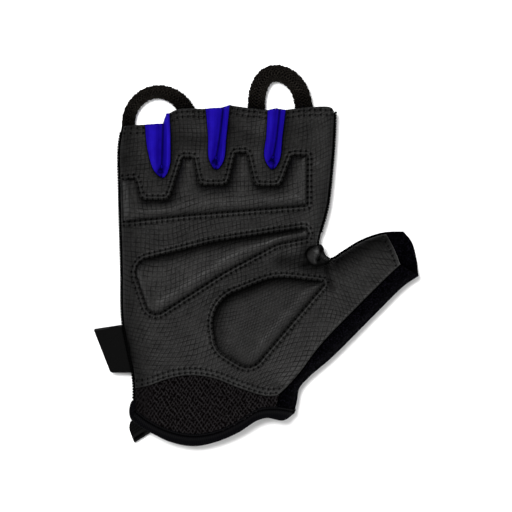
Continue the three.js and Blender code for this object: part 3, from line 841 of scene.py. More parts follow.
def leather_finish(name, cell, dark, light, roughness):
    """Embossed leather: flat scales between thin dark lines, in two families that cross. The level lines
    sag like a smile and fall away on the thumb. The upright ones lean over towards the wrist."""
    f = Finish(name, {"Specular IOR Level": 0.12})
    spread = f.shift(f.place, f.noise(34, 1.0, output="Color"), 9.0)
    spread = f.shift(spread, f.noise(4.5, 1.0, output="Color"), 0.9)
    x = f.part(spread, "X")
    y = f.part(spread, "Y")

    def bowl(centre, width):
        """A curve that is level at the centre and rises evenly on both sides of it."""
        off = x - centre
        return (off * off + width * width).maths("SQRT")

    def turned(centre, width):
        """Nothing before the centre, and rising twice as fast as x past it."""
        return bowl(centre, width) + x - centre

    palm = f.step(y, 34.0, -8.0)
    fingers_sag = bowl(22, 8) * 0.15 + x * 0.3
    palm_sag = bowl(-44, 14) * 0.3 + x * 0.1 - turned(30, 10) * 0.38 + turned(52, 8) * 0.1 - 8
    sag = fingers_sag * (1 - palm) + palm_sag * palm
    below = (-8 - y).maths("MAXIMUM", 0.0)
    on_thumb = f.step(x + y * 0.28, 30.2, 31.2) * f.step(y - x * 0.45, -10.3, -12.3)
    thumb_lean = on_thumb * (y + 26).maths("MAXIMUM", 0.0) * 0.6
    drop = (SIDE_TOP - f.part(f.place, "Z")).maths("MAXIMUM", 0.0)
    sides = f.step(x, 25.0, 32.0) * f.step(y, 2.0, 10.0) - f.step(x, -50.0, -57.0)
    across = (x + drop * sides + below * below * 0.0058 + thumb_lean) * (1 / cell[0])
    down = (y - sag) * (1 / cell[1])
    edge = f.node("Math", {"operation": "SMOOTH_MIN"}, {
        0: across.maths("PINGPONG", 0.5), 1: down.maths("PINGPONG", 0.5), 2: 0.12})
    scale_number = f.node("CombineXYZ", {}, {
        0: (across + 0.5).maths("FLOOR"), 1: (down + 0.5).maths("FLOOR")})
    chance = f.node("TexWhiteNoise", {"noise_dimensions": "2D"}, {"Vector": scale_number}, "Value")
    bare_and_highlight = f.attribute("wear_and_highlight")
    line = (1 - f.step(edge, 0.01, 0.14)) * (1 - bare_and_highlight)
    dome = f.step(edge, 0.0, 0.2) * (1 - bare_and_highlight)
    blotch = f.step(f.noise(7, 3.0), 0.3, 0.75)
    fleck = f.noise(0.8, 2.0)
    dark_and_shade = f.attribute("dark_and_shade")
    shaded = f.attribute("shade")
    colour = f.mix(blotch * 0.6 + chance * 0.4, dark, light)
    colour = f.mix(f.step(fleck, 0.4, 0.75, 0.0, 0.5), colour, grey(light[1] * 1.8))
    # Painted highlight: paler on the pads' crests and on the knot, and paler on folded hems
    colour = f.mix(bare_and_highlight * 0.4, colour, grey(light[1] * 1.3))
    colour = f.mix(line * f.step(f.noise(5, 2.0), 0.35, 0.65, 0.3, 0.85), colour, grey(0.0015))
    # Painted shade in the folds and towards the side seams
    colour = f.mix(shaded, colour, grey(0.0006))
    # Needle holes and the knot's hollows painted black as shade, and cut edges painted dark
    colour = f.mix(dark_and_shade, colour, grey(0.0001))
    height = dome * 0.07 + chance * dome * 0.03 + fleck * 0.05 - dark_and_shade * 0.2
    rough = line * 0.3 + fleck * 0.1 + dark_and_shade * 0.4 + shaded * 0.4 - blotch * 0.06 + roughness
    return f.use(Base_Color=colour, Roughness=rough, Normal=f.bump(height, 0.9))


def stretch_finish():
    """Blue stretch cloth, with fine ribs down the finger."""
    f = Finish("blue_stretch", {"Specular IOR Level": 0.04})
    rib = f.wave("X", {"Scale": 0.42, "Distortion": 0.6, "Detail": 1.0})
    course = f.wave("Y", {"Scale": 0.5, "Distortion": 0.4, "Detail": 1.0})
    worn = f.step(f.noise(5, 2.0), 0.3, 0.7)
    crease_shade = f.attribute("dark_and_shade")
    colour = f.mix(worn, (0.012, 0.0032, 0.33, 1), (0.015, 0.0055, 0.41, 1))
    colour = f.mix((1 - rib) * 0.25, colour, (0.010, 0.0015, 0.32, 1))
    # Painted light on the cloth past each crease
    colour = f.mix(f.attribute("wear_and_highlight"), colour, (0.024, 0.009, 0.58, 1))
    # Painted shade in each crease and fold
    colour = f.mix(crease_shade, colour, (0.0012, 0.0001, 0.04, 1))
    height = rib * 0.1 + course * 0.05
    return f.use(Base_Color=colour, Roughness=rib * -0.1 + 0.6, Normal=f.bump(height, 0.7))


def terry_finish():
    """Terry pile: black loops with paler, faintly purple tips."""
    f = Finish("terry", {"Specular IOR Level": 0.015})
    standing = f.node("VectorMath", {"operation": "MULTIPLY"}, {0: f.place, 1: (1.0, 1.0, 0.4)})
    loops = f.node("TexVoronoi", {"feature": "F1"}, {"Vector": standing, "Scale": 1 / 0.8}, "Distance")
    tuft = f.noise(0.6, 3.0, standing)
    high = f.step(tuft, 0.5, 0.62)
    colour = f.mix(high, (0.0001, 0.0001, 0.0003, 1), (0.0040, 0.0035, 0.0058, 1))
    height = (1 - loops) * 0.3 + tuft * 0.4
    return f.use(Base_Color=colour, Roughness=high * -0.1 + 0.95, Normal=f.bump(height, 1.0))


def knit_finish():
    """The back's black knit, ribbed down the hand."""
    f = Finish("back_knit", {"Specular IOR Level": 0.02})
    rib = f.wave("X", {"Scale": 0.28, "Distortion": 0.3})
    course = f.wave("DIAGONAL", {"Scale": 0.34})
    patch = f.noise(12, 2.0)
    colour = f.mix(rib * course, grey(0.0015), grey(0.006))
    colour = f.mix(patch * 0.4, colour, grey(0.0025))
    return f.use(Base_Color=colour, Roughness=rib * -0.1 + 0.9, Normal=f.bump(rib * 0.3 + course * 0.12, 0.9))


def net_finish():
    """The net's dusty strands over the dark of its holes."""
    f = Finish("wrist_net", {"Specular IOR Level": 0.015})
    high = f.attribute("strand")
    fibre = f.noise(0.5, 3.0)
    colour = f.mix(high, (0.0005, 0.0001, 0.0001, 1), (0.0225, 0.0205, 0.0215, 1))
    colour = f.mix(f.step(fibre, 0.45, 0.6, 0.0, 0.75), colour, (0.0025, 0.0018, 0.002, 1))
    return f.use(Base_Color=colour, Roughness=high * -0.15 + 0.85, Normal=f.bump(fibre * 0.15, 0.8))


def twill_finish(name, dark, light, pitch):
    """Woven tape, ribbed across its run. The piece's own attribute says how far along and across."""
    f = Finish(name, {"Specular IOR Level": 0.02})
    thread = f.attribute("thread", "Vector")
    rib = f.wave("X", {"Scale": 1 / pitch / 3.2}, thread)
    cross = f.wave("DIAGONAL", {"Scale": 1 / pitch / 2}, thread)
    fibre = f.noise(0.6, 3.0)
    colour = f.mix(rib * cross * 0.4 + fibre * 0.4, dark, light)
    # Painted highlights on the binding and on the tab's lip, and the label's pale fold
    colour = f.mix(f.attribute("wear_and_highlight"), colour, grey(light[1] * 2.2))
    # Painted shade in the binding's groove and in and under the tab's fold
    colour = f.mix(f.attribute("dark_and_shade"), colour, grey(0.0001))
    height = rib * 0.2 + cross * 0.1 + fibre * 0.08
    return f.use(Base_Color=colour, Roughness=rib * -0.1 + 0.85, Normal=f.bump(height, 0.9))


def braid_finish():
    """The braid's black strands, with pale flecks of worn thread."""
    f = Finish("loop_braid", {"Specular IOR Level": 0.02})
    high = f.attribute("strand")
    fleck = f.step(f.noise(0.9, 3.0), 0.42, 0.62)
    colour = f.mix(high, grey(0.0002, 0.2), grey(0.0085, 0.15))
    colour = f.mix(high * fleck * 0.7, colour, grey(0.025, 0.15))
    return f.use(Base_Color=colour, Roughness=high * -0.1 + 0.85, Normal=f.bump(fleck * 0.15, 0.7))


def thread_finish():
    """Black twisted thread."""
    f = Finish("thread", {"Specular IOR Level": 0.05})
    twist = f.wave("DIAGONAL", {"Scale": 0.9})
    colour = f.mix(twist, grey(0.004), grey(0.011))
    # The overcast seams' beads are painted near black all over
    colour = f.mix(f.attribute("dark_and_shade"), colour, grey(0.0006))
    return f.use(Base_Color=colour, Roughness=twist * -0.1 + 0.6, Normal=f.bump(twist * 0.1, 0.6))


# The width and height of a scale of the grain
SCALE = (2.0, 2.1)
FINE_SCALE = (1.4, 1.55)
palm_finish = leather_finish("palm_leather", SCALE, grey(0.0155, 0.02), grey(0.0255, 0.03), 0.42)
pad_finish = leather_finish("pad_leather", SCALE, grey(0.021, 0.02), grey(0.0335, 0.03), 0.38)
thumb_pad_finish = leather_finish(
    "thumb_pad_leather", FINE_SCALE, grey(0.0155, 0.02), grey(0.0235, 0.03), 0.42)
stretch = stretch_finish()
terry_cloth = terry_finish()
knit = knit_finish()
net_cloth = net_finish()
binding_twill = twill_finish("binding_twill", (0.0008, 0.0008, 0.0012, 1), (0.0072, 0.007, 0.0088, 1), 0.9)
webbing = twill_finish("webbing", grey(0.0012), grey(0.0105), 1.2)
label_weave = twill_finish("label_weave", grey(0.004), grey(0.012), 0.5)
braid = braid_finish()
thread_black = thread_finish()


# The pieces
def made(name, part, material, slot, nodes=(), attributes=None):
    """A piece of the glove from points in millimetres and faces."""
    points, faces = part
    mesh = bpy.data.meshes.new(name)
    mesh.from_pydata((points * MM).tolist(), [], faces)
    mesh.polygons.foreach_set("use_smooth", np.ones(len(mesh.polygons), bool))
    for label, values in (attributes or {}).items():
        values = np.asarray(values, float)
        kind, field = ("FLOAT", "value") if values.ndim == 1 else ("FLOAT_VECTOR", "vector")
        mesh.attributes.new(label, kind, "POINT").data.foreach_set(field, values.ravel())
    mesh.materials.append(material)
    piece = bpy.data.objects.new(name, mesh)
    bpy.context.collection.objects.link(piece)
    if nodes:
        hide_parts(*nodes)
    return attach(piece, "root")


# A stitch of thread: half its length, half its thickness, how far its ends dip and how far it is lifted
STITCH_LONG = 0.76
STITCH_THICK = 0.22
STITCH_DIP = 0.3
STITCH_LIFT = 0.04


def model_stitch():
    """A short straight piece of thread along X, thicker in the middle than at its ends."""
    bpy.ops.object.select_all(action="DESELECT")
    bpy.ops.mesh.primitive_uv_sphere_add(segments=8, ring_count=7, radius=1, rotation=(0, math.pi / 2, 0))
    stitch = bpy.context.object
    bpy.ops.object.transform_apply(location=False, rotation=True, scale=False)
    bpy.ops.object.mode_set(mode="EDIT")
    bpy.ops.mesh.select_all(action="SELECT")
    bpy.ops.transform.resize(value=(STITCH_LONG, STITCH_THICK, STITCH_THICK))
    bpy.ops.object.mode_set(mode="OBJECT")
    points = np.array([tuple(v.co) for v in stitch.data.vertices])
    faces = [list(face.vertices) for face in stitch.data.polygons]
    bpy.data.objects.remove(stitch)
    return points, faces


thread_points, thread_faces = model_stitch()
stitch_points = thread_points.copy()
stitch_points[:, 2] -= STITCH_DIP * (thread_points[:, 0] / STITCH_LONG) ** 2
bead_points = thread_points / np.abs(thread_points).max(axis=0)


def stitches(name, rows, height):
    """A piece of thread for every step along the rows, laid on a height."""
    parts = []
    for row in rows:
        ends = row[::ROW_POINTS]
        z = height(ends)
        starts = np.column_stack([ends[:-1], z[:-1]])
        stops = np.column_stack([ends[1:], z[1:]])
        for a, b in zip(starts, stops):
            along = (b - a) / np.linalg.norm(b - a)
            side = np.cross((0, 0, 1), along)
            side /= np.linalg.norm(side)
            up = np.cross(along, side)
            placed = (a + b) / 2 + up * STITCH_LIFT + stitch_points @ np.array([along, side, up])
            parts.append((placed, thread_faces))
    return made(name, joined(*parts), thread_black, None)


# The leather's mesh has lines of points along these insets of the pads' outlines, and rings of them round the
# needle holes, by radius and count, and round the knot
LEATHER_STEP = 1.5
RIDGE_DEPTHS = (-1.5, -0.9, -0.45, 0.4, RIDGE_CREST, 1.25, 2.1, 2.6)
RIDGE_STEP = 0.7
HOLE_RINGS = ((0.42, 6), (0.85, 8))
PLEAT_RINGS = np.arange(3, 8.5, 0.7)
# Where the leather is cut, and how dark the cut is; where it is folded, and how wide the pale fold is
CUT_EDGES = ((np.vstack(finger_edge), 0.85), (palm_hem, 0.3))
FOLDED_HEMS = ((hems["thumb"], 1.9), (palm_hem, 3))


def ring_of(centre, radius, count):
    """Points evenly round a circle."""
    turn = np.linspace(0, 2 * math.pi, count, endpoint=False)
    return np.asarray(centre) + radius * np.column_stack([np.cos(turn), np.sin(turn)])


def leather_wear_and_highlight(p):
    """1 where the leather has lost its grain and is painted paler: a painted highlight on the crest round
    each pad, and on folded hems.
    """
    wear_and_highlight = np.zeros(len(p))
    for outline in pad_outlines:
        wear_and_highlight = np.maximum(wear_and_highlight, hill(signed(p, outline) - RIDGE_CREST, 0.4))
    for hem, width in FOLDED_HEMS:
        wear_and_highlight = np.maximum(wear_and_highlight, 0.8 * (1 - smoothstep(distance(p, hem), width, width + 0.5)))
    return wear_and_highlight


# The knot's face: its lift, the power of its swell, its lumps, and how deep and wide its valley and its
# hollow are
KNOT_LIFT = 0.2
KNOT_EASE = 0.6
KNOT_LUMPS = 0.35
VALLEY_DEPTH = 1.2
VALLEY_WIDE = 0.6
HOLLOW_DEPTH = 2.2
HOLLOW_WIDE = 0.8


def knot_top(p):
    """The knot's upper face, lumpy, with a valley that runs up from a hollow."""
    s = np.clip(distance(p, knot_rim, loop=True) / KNOT_ROUND, 0, 1)
    total = KNOT_RISE * (s * (2 - s)) ** KNOT_EASE + KNOT_LUMPS * np.sin(1.6 * p[:, 1] + 0.9 * p[:, 0])
    total -= VALLEY_DEPTH * hill(distance(p, knot_valley), VALLEY_WIDE)
    total -= HOLLOW_DEPTH * hill(np.linalg.norm(p - knot_hollow, axis=1), HOLLOW_WIDE)
    return leather_under(p) + LEATHER + KNOT_LIFT + total


def make_knot():
    """The knot's points and faces, and how much painted shade each point of its plan has. It is painted dark
    in its hollow, its valley and round its rim, and shaded towards the thumb and the fingers."""
    plan = filled(knot_rim, 0.45, [resampled(knot_valley, 0.3)])
    p = plan[0]
    dark = hill(np.linalg.norm(p - knot_hollow, axis=1), 1.15)
    dark = np.maximum(dark, 0.85 * hill(distance(p, knot_valley), 0.65))
    dark = np.maximum(dark, 0.8 * hill(distance(p, knot_rim, loop=True), 0.45))
    shaded = 0.96 * smoothstep(p[:, 0] - 0.25 * p[:, 1], 27.4, 29.2)
    shaded = np.maximum(shaded, 0.8 * smoothstep(p[:, 1], 1.6, 3.6))
    return shell(plan, knot_rim, lambda q: leather_under(q) + 0.3, knot_top), dark, shaded


def make_leather():
    """The leather palm with its sewn channels and needle holes, the knot of leather and the thread on it."""
    ridges = [resampled(looped(inset(outline, depth)), RIDGE_STEP)
              for outline in pad_outlines for depth in RIDGE_DEPTHS]
    holes = [np.vstack([ring_of(centre, radius, count) for centre in pits]) for radius, count in HOLE_RINGS]
    pleats = [ring_of((GATHER["x"], GATHER["y"]), radius, int(radius * 8)) for radius in PLEAT_RINGS]
    lines = [np.vstack(rows), *holes, np.vstack(ridges), np.vstack(pleats)]
    plan = filled(leather_outline, LEATHER_STEP, lines)
    part = shell(plan, leather_outline, leather_under, leather_top)
    p = plan[0]
    # The needle holes: sunk, and painted black as shade
    dark_and_shade = 1 - smoothstep(to_nearest(p, pit_tree), PIT_FLOOR, PIT_RADIUS)
    part[0][len(p) :, 2] -= PIT_DEPTH * dark_and_shade
    for edge, amount in CUT_EDGES:
        dark_and_shade = np.maximum(dark_and_shade, amount * (1 - smoothstep(distance(p, edge), 0.15, 0.65)))
    wear_and_highlight = leather_wear_and_highlight(p)
    # Painted shade over the leather
    shaded = shade(p)
    knot, knot_hollow_shade, knot_shaded = make_knot()
    none = np.zeros(len(knot_hollow_shade))
    # The knot has painted shade in its hollows and towards the thumb, and is painted paler all over as a
    # highlight
    leather = made("leather_palm", joined(part, knot), palm_finish, "palm_leather", ["palm_leather"], {
        "dark_and_shade": np.concatenate([np.zeros(len(p)), dark_and_shade, none, knot_hollow_shade]),
        "shade": np.concatenate([shaded, shaded, knot_shaded, knot_shaded]),
        "wear_and_highlight": np.concatenate([wear_and_highlight, wear_and_highlight, none, none + 0.8]),
    })
    thread = stitches("stitches_palm", rows, leather_top)


# The pads' slopes carry painted shade, more so and further in on the side away from the light
PAD_LEE = (0.3, -0.95)
PAD_SHADE = 0.7
PAD_SHADE_REACH = 1.8
PAD_LEE_REACH = 3
PAD_STEP = 1.5
PAD_RINGS = (0.2, 0.5, 0.95, 1.5, 2.2)


def make_pad(name, outline, node, material, slot):
    """A pad that swells from its rim, cut off where it would run over the leather's edge."""
    rim = inset(outline, PAD_INSET)
    if not inside(rim, leather_outline).all():
        rim = rim[inside(rim, inset(leather_outline, 0.4))]

    def top(p):
        s = np.clip(distance(p, rim, loop=True) / PAD_ROUND, 0, 1)
        swell = PAD_START + (PAD_HEIGHT - PAD_START) * (s * (2 - s)) ** PAD_EASE
        return leather_under(p) + LEATHER + swell

    def under(p):
        return leather_under(p) + LEATHER - PAD_RECESS + PAD_CLEAR

    plan = filled(rim, PAD_STEP, rings=PAD_RINGS)
    p = plan[0]
    off = distance(p, rim, loop=True)
    into = np.stack([distance(p + step, rim, loop=True) - off for step in np.eye(2) * 0.1], axis=1) / 0.1
    lee = smoothstep(into @ np.array(PAD_LEE), 0, 0.9)
    # Painted shade on the pad's slopes, joined with the leather's painted shade
    dark = PAD_SHADE * (1 - smoothstep(off, 0, PAD_SHADE_REACH + PAD_LEE_REACH * lee)) * (0.75 + 0.35 * lee)
    dark = np.maximum(dark, shade(p))
    piece = made(name, shell(plan, rim, under, top, 0.6), material, slot, [node], {"shade": np.tile(dark, 2)})


# Where the back's corner at the wrist is cut off, and the steps of its mesh
BACK_CORNER = ((-58.4, -73), (-56.6, -76.7))
BACK_STEP = 2.6
BACK_RINGS = (0.3, 0.8, 2)


def make_back():
    """The knit back of the hand and fingers, with its corner at the wrist cut off."""
    outline = inset(closed([
        between(little_side, little_side[0], BACK_CORNER[0]),
        back_hem[nearest(back_hem, BACK_CORNER[1]) : nearest(back_hem, terry_back_seam[-1]) + 1],
        terry_back_seam[::-1],
        between(inner_side, terry_back_seam[0], hems["index"][-1]),
        *finger_edge,
    ], 1.2), GAP / 2)
    under = back_under(KNIT)
    part = shell(filled(outline, BACK_STEP, rings=BACK_RINGS), outline, under, over(under, KNIT))
    back = made("knit_back", part, knit, "back_knit", ["back_panel"])


# The terry's pile: how uneven its loops are and how high its tufts. The roll along the thumb's outer edge:
# how far in it runs, its steps, and half its width and height.
PILE_UNEVEN = 0.16
PILE_TUFTS = 0.12
TERRY_ROLL_IN = 1.5
TERRY_ROLL_STEP = 0.9
TERRY_ROLL_WIDE = 1.4
TERRY_ROLL_HIGH = 2.2


def pile(p):
    """The uneven height of the terry's loops."""
    tufts = PILE_TUFTS * np.sin(p[:, 0] * 1.3) * np.cos(p[:, 1] * 1.1)
    return PILE_UNEVEN * rng.normal(size=len(p)) * fullness(p) + tufts


def make_terry():
    """The terry round the thumb: a strip on the palm's side, the thumb's back, and a roll that joins them."""
    outer = thumb_outer[: nearest(thumb_outer, binding_top[-1]) + 1]
    palm_outline = inset(closed([
        terry_seam,
        np.stack([terry_seam[-1], thumb_tip[-1]]),
        outer,
        between(binding_top, binding_top[-1], WRIST_CORNER),
    ], 0.9), GAP / 2)
    back_outline = inset(closed([
        terry_back_seam,
        back_hem[nearest(back_hem, terry_back_seam[-1]) :],
        thumb_outer[::-1],
        thumb_tip[::-1],
        between(inner_side, inner_side[-1], terry_back_seam[0]),
    ], 0.9), GAP / 2)
    under = back_under(TERRY)
    strip = shell(filled(palm_outline, 1.0), palm_outline, palm_under,
                  lambda p: palm_under(p) + TERRY + pile(p))
    back = shell(filled(back_outline, 1.6), back_outline, under, over(under, TERRY))
    edge = resampled(shifted(outer[:-2], -TERRY_ROLL_IN), TERRY_ROLL_STEP)
    roll = tube(edge, SEAM_Z, TERRY_ROLL_WIDE, TERRY_ROLL_HIGH)
    terry = made("terry_thumb", joined(strip, back, roll), terry_cloth, "terry", ["thumb_terry"])


# The overcast seams down both sides: how far apart their beads of thread are, how far in, and their half size
OVERCAST_PITCH = 1.3
OVERCAST_IN = 0.15
OVERCAST_SIZE = (0.52, 0.6, 1.1)
OVERCAST_ENDS = {"little": ((-64, 57), (-57.8, -66)), "index": ((30.4, 11), (37, 66.5))}


def make_overcast(name, line):
    """A bead of black thread for each stitch over the edge."""
    line = resampled(line, OVERCAST_PITCH)
    parts = []
    for (x, y), (sx, sy) in zip(line, left_of(line)):
        axes = np.array([(sx, sy, 0), (-sy, sx, 0), (0, 0, 1)]) * np.array(OVERCAST_SIZE)[:, None]
        centre = (x + sx * OVERCAST_IN, y + sy * OVERCAST_IN, SEAM_Z)
        parts.append((centre + bead_points @ axes, thread_faces))
    part = joined(*parts)
    # Every bead is painted near black
    made(name, part, thread_black, None, (), {"dark_and_shade": np.ones(len(part[0]))})


# The gussets: how far they tuck under the leather's edge, the height of the cloth by how far inside the slot
# it is, the width of a crease and a fold, and the depth of each
TUCK = 0.9
TUCKED = np.array([(-TUCK, -0.15), (-0.2, -0.15), (0.3, 0.3), (1.8, STRETCH)])
FOLD_WIDTH = 0.45
CREASE_DEPTH = 1.2
FOLD_DEPTH = 1.1


def make_gusset(number, slot, crease, slot_hem, folds):
    """A stretch strip between two fingers, pressed together along its crease and in folds below it."""
    hem_line = np.array([slot[-1], *slot_hem, slot[0]])
    hem_runs = [hem_line[i : i + 2] for i in range(len(hem_line) - 1)]
    outline = closed([shifted(slot, -TUCK), *hem_runs], 0.6)
    opening = closed([slot, *hem_runs], 0.6)
    reach = kept_runs(crease, outline)[0]
    folds = [np.array(fold, float) for fold in folds]

    def top(p):
        depth = distance(p, slot) * np.where(inside(p, opening), 1, -1)
        total = palm_under(p) + np.interp(depth, *TUCKED.T) + 0.5 * undulation(p)
        total = total - CREASE_DEPTH * hill(distance(p, reach), FOLD_WIDTH)
        for fold in folds:
            total = total - FOLD_DEPTH * hill(distance(p, fold), FOLD_WIDTH)
        return total

    lines = [reach, *[resampled(fold, 0.35) for fold in folds]]
    lines += [resampled(shifted(reach, side), 0.6) for side in (-1.5, -0.9, -0.4, 0.4, 0.9, 1.5)]
    lines += [shifted(slot, side) for side in (-0.3, 0.1, 0.5)]
    plan = filled(outline, 0.9, lines)
    lower = filled(opening, 1.4)
    upper_part = shell(plan, outline, lambda p: top(p) - 0.8 * STRETCH, top)
    lower_part = shell(lower, opening, back_under(STRETCH), over(back_under(STRETCH), STRETCH))
    p = plan[0]
    # Painted shade in the crease and the folds, and painted light on the cloth past the crease
    upright = reach[np.argsort(reach[:, 1])]
    past = p[:, 0] - np.interp(p[:, 1], upright[:, 1], upright[:, 0])
    crease_shade = np.maximum(0.97 * hill(past, 0.5), 0.3 * hill(past + 1.7, 1.5))
    for fold in folds:
        crease_shade = np.maximum(crease_shade, 0.8 * hill(distance(p, fold), FOLD_WIDTH))
    painted_light_side = smoothstep(past, 0.2, 1.0)
    none = np.zeros(2 * len(lower[0]))
    gusset = made(f"gusset_{number}", joined(upper_part, lower_part), stretch, "blue_stretch",
                  [f"finger_gusset_{number}"],
                  {"dark_and_shade": np.concatenate([crease_shade, crease_shade, none]), "wear_and_highlight": np.concatenate([painted_light_side, painted_light_side, none])})


# The net: the width and height of its meshes, how deep they are, the steps of its plan, how far it is tucked
# under the binding, how far it reaches behind the leather's hem, how much lower it lies there, and how far
# its underside is above its base
NET_WIDE = 1.75
NET_HIGH = 2.5
NET_DIP = 0.4
NET_STEP = 0.42
NET_TUCK = 1.3
NET_BEHIND = 2
NET_LOWER = 0.15
NET_LIFT = 0.3
net_side = shifted(between(little_side, binding_top[0], palm_hem[0]), -LIP)
net_end = np.array([palm_hem[-1], WRIST_CORNER])
net_foot = between(binding_top, WRIST_CORNER, binding_top[0])
net_opening = closed([palm_hem, net_end, net_foot, net_side], 0.8)


def strand(p):
    """1 on the strands of the net, 0 in its holes, which stand in uneven diamonds. Towards the little side
    the net turns into ribs."""
    x, y = p.T
    u = x / NET_WIDE + 0.14 * np.sin(y / 2.1 + x / 5) + 0.12 * np.sin(x / 1.3 + y / 1.7)
    u = u + 0.012 * (x + 20) * (y + 70) / 10
    v = y / NET_HIGH + 0.13 * np.sin(x / 1.9 - y / 3) - 0.1 * x / NET_HIGH
    first = np.abs(np.sin(math.pi * (u + v)))
    second = np.abs(np.sin(math.pi * (u - v)))
    slack = 0.12 * np.sin(x * 1.9 + 2 * np.sin(y * 1.3)) + 0.1 * np.sin(y * 2.3 + x)
    net = 1 - smoothstep(np.minimum(first, second) + slack, 0.2, 0.5)
    ribs = smoothstep(np.sin(2 * math.pi * (0.77 * x - 0.64 * y) / 1.6 + 7 * slack), -0.3, 0.7)
    ribbed = smoothstep(-x, 45, 53)
    return net * (1 - 0.5 * ribbed) + 0.35 * ribs * ribbed


def net_base(p):
    """The height that the net stands on, lower where it is tucked behind the leather's hem."""
    behind = (distance(p, palm_hem) < NET_BEHIND) & ~inside(p, net_opening)
    return palm_under(p) - np.where(behind, NET + NET_LOWER, 0)


def make_net():
    """The net on the palm side of the wrist, tucked under the leather's hem and the binding."""
    outline = closed([shifted(palm_hem, TUCK), net_end, shifted(net_foot, NET_TUCK), net_side], 0.8)
    plan = filled(outline, NET_STEP)
    part = shell(plan, outline, lambda p: net_base(p) + NET_LIFT,
                 lambda p: net_base(p) + NET - NET_DIP * (1 - strand(p)))
    net = made("net_wrist", part, net_cloth, "wrist_net", ["wrist_net"],
               {"strand": np.tile(strand(plan[0]), 2)})


# The binding: half its height, its wall, the steps along it and across its face, and the sewn groove in it:
# how deep it is and how far from the tape's upper edge
BINDING_HALF = 1.15
BINDING_WALL = 0.5
BINDING_STATIONS = 130
TAPE_POINTS = 16
TAPE_GROOVE = 0.45
TAPE_GROOVE_AT = 1.25
# The bound edge's rolled end at the little side
ROLL = ((-56.8, -67.6), (-57.5, -70), (-57.8, -73), (-57.2, -75.6), (-56.2, -77.2))
ROLL_Z = 9.2
ROLL_STEP = 0.3
ROLL_AROUND = 16


def in_stations(line, count):
    """A line in this many equal steps."""
    line = resampled(line, 0.6)
    return resampled(line, np.linalg.norm(np.diff(line, axis=0), axis=1).sum() / count)[: count + 1]


def tape_section(width, half):
    """A folded tape seen from its end: along the top, round the fold and back underneath."""
    turn = np.linspace(math.pi / 2, -math.pi / 2, 9)
    flat = np.linspace(0.1, width - half, TAPE_POINTS + 1)[:-1]
    top = np.column_stack([flat, half - TAPE_GROOVE * hill(flat - TAPE_GROOVE_AT, 0.35)])
    fold = np.column_stack([width - half + half * np.cos(turn), half * np.sin(turn)])
    return np.vstack([top, fold, top[::-1] * (1, -1)])


def make_binding():
    """The twill tape folded over the wrist's edge. Its thread values say how far along and across it is."""
    tops = in_stations(binding_top, BINDING_STATIONS)
    bottoms = in_stations(binding_bottom, BINDING_STATIONS)
    sections, threads = [], []
    run = 0.0
    for i, (a, b) in enumerate(zip(tops, bottoms)):
        width = float(np.linalg.norm(b - a))
        toward = (b - a) / width
        half = min(BINDING_HALF, width / 2.2)
        outer = tape_section(width, half)
        inner = tape_section(width - BINDING_WALL, half - BINDING_WALL)[::-1]
        inner[:, 0] = np.maximum(inner[:, 0], 0.1)
        loop = np.vstack([outer, inner])
        ground = palm_under(np.array([(a + b) / 2]))[0] + NET / 2
        sections.append(np.column_stack([a + loop[:, :1] * toward, ground + loop[:, 1]]))
        run += float(np.linalg.norm(b - bottoms[max(0, i - 1)]))
        threads.append(np.column_stack([np.full(len(loop), run), loop]))
    line = resampled(curve(ROLL), ROLL_STEP)
    taper = 0.2 + 0.8 * (1 - np.linspace(-0.9, 1, len(line)) ** 4) ** 0.5
    roll = tube(line, ROLL_Z, 1.5, 1.7, ROLL_AROUND, taper)
    roll_run = np.repeat(np.arange(len(line)) * ROLL_STEP, ROLL_AROUND)
    roll_turn = np.tile(np.arange(ROLL_AROUND) * 0.5, len(line))
    threads.append(np.column_stack([roll_run, roll_turn, np.zeros(len(roll_run))]))
    thread = np.vstack(threads)
    in_tape = thread[:, 1] + 9 * (thread[:, 2] <= 0.1)
    # Painted shade in the sewn groove and at the tape's upper edge, and painted highlights along the tape
    groove_shade = np.maximum(hill(in_tape - TAPE_GROOVE_AT, 0.33), 0.8 * (1 - smoothstep(in_tape, 0, 0.35)))
    lit = 0.35 * hill(in_tape - 0.75, 0.22) + 0.25 * hill(in_tape - 2.6, 0.7)
    binding = made("binding_wrist", joined(loft(np.array(sections)), roll), binding_twill, "binding_twill",
                   ["wrist_binding"], {"thread": thread, "dark_and_shade": groove_shade, "wear_and_highlight": lit})


def make_strap():
    """The plain closing strap that the glove lies on."""
    outline = rounded(STRAP, 1.0)
    part = shell(filled(outline, 2.2), outline, lambda p: np.zeros(len(p)),
                 lambda p: np.full(len(p), STRAP_THICK))
    strap = made("strap_wrist", part, webbing, "webbing", ["wrist_strap"], {"thread": part[0]})


# The tab's profile: points on each straight run and round the fold, and slices across its width
TAB_STRAIGHT = 13
TAB_BEND = np.linspace(-math.pi / 2, math.pi / 2, 19)
TAB_SLICES = 28
# The mouth is painted dark as shade, and the lip is painted with a highlight
# The mouth: where on the fold it is, in radians, how far the webbing is pressed in there, and its pale lip
MOUTH_TURN = 1.2
MOUTH_HALF = 0.24
MOUTH_PRESS = (0.3, 1.2)
LIP_TURN = 0.72
LIP_HALF = 0.2
LIP_LIT = 0.35
# The tab's two edges are softer, and its root is narrower
TAB_SOFT = 0.25
TAB_NARROW = 0.028


def tab_line(fold, length, root):
    """The tab seen from its edge: out along the foot, round the fold and back on top."""
    half = fold / 2
    straight = np.linspace(root, length - half, TAB_STRAIGHT + 1)[:-1]
    return np.vstack([
        np.column_stack([straight, np.zeros(TAB_STRAIGHT)]),
        np.column_stack([length - half + half * np.cos(TAB_BEND), half + half * np.sin(TAB_BEND)]),
        np.column_stack([straight[::-1], np.full(TAB_STRAIGHT, fold)]),
    ])


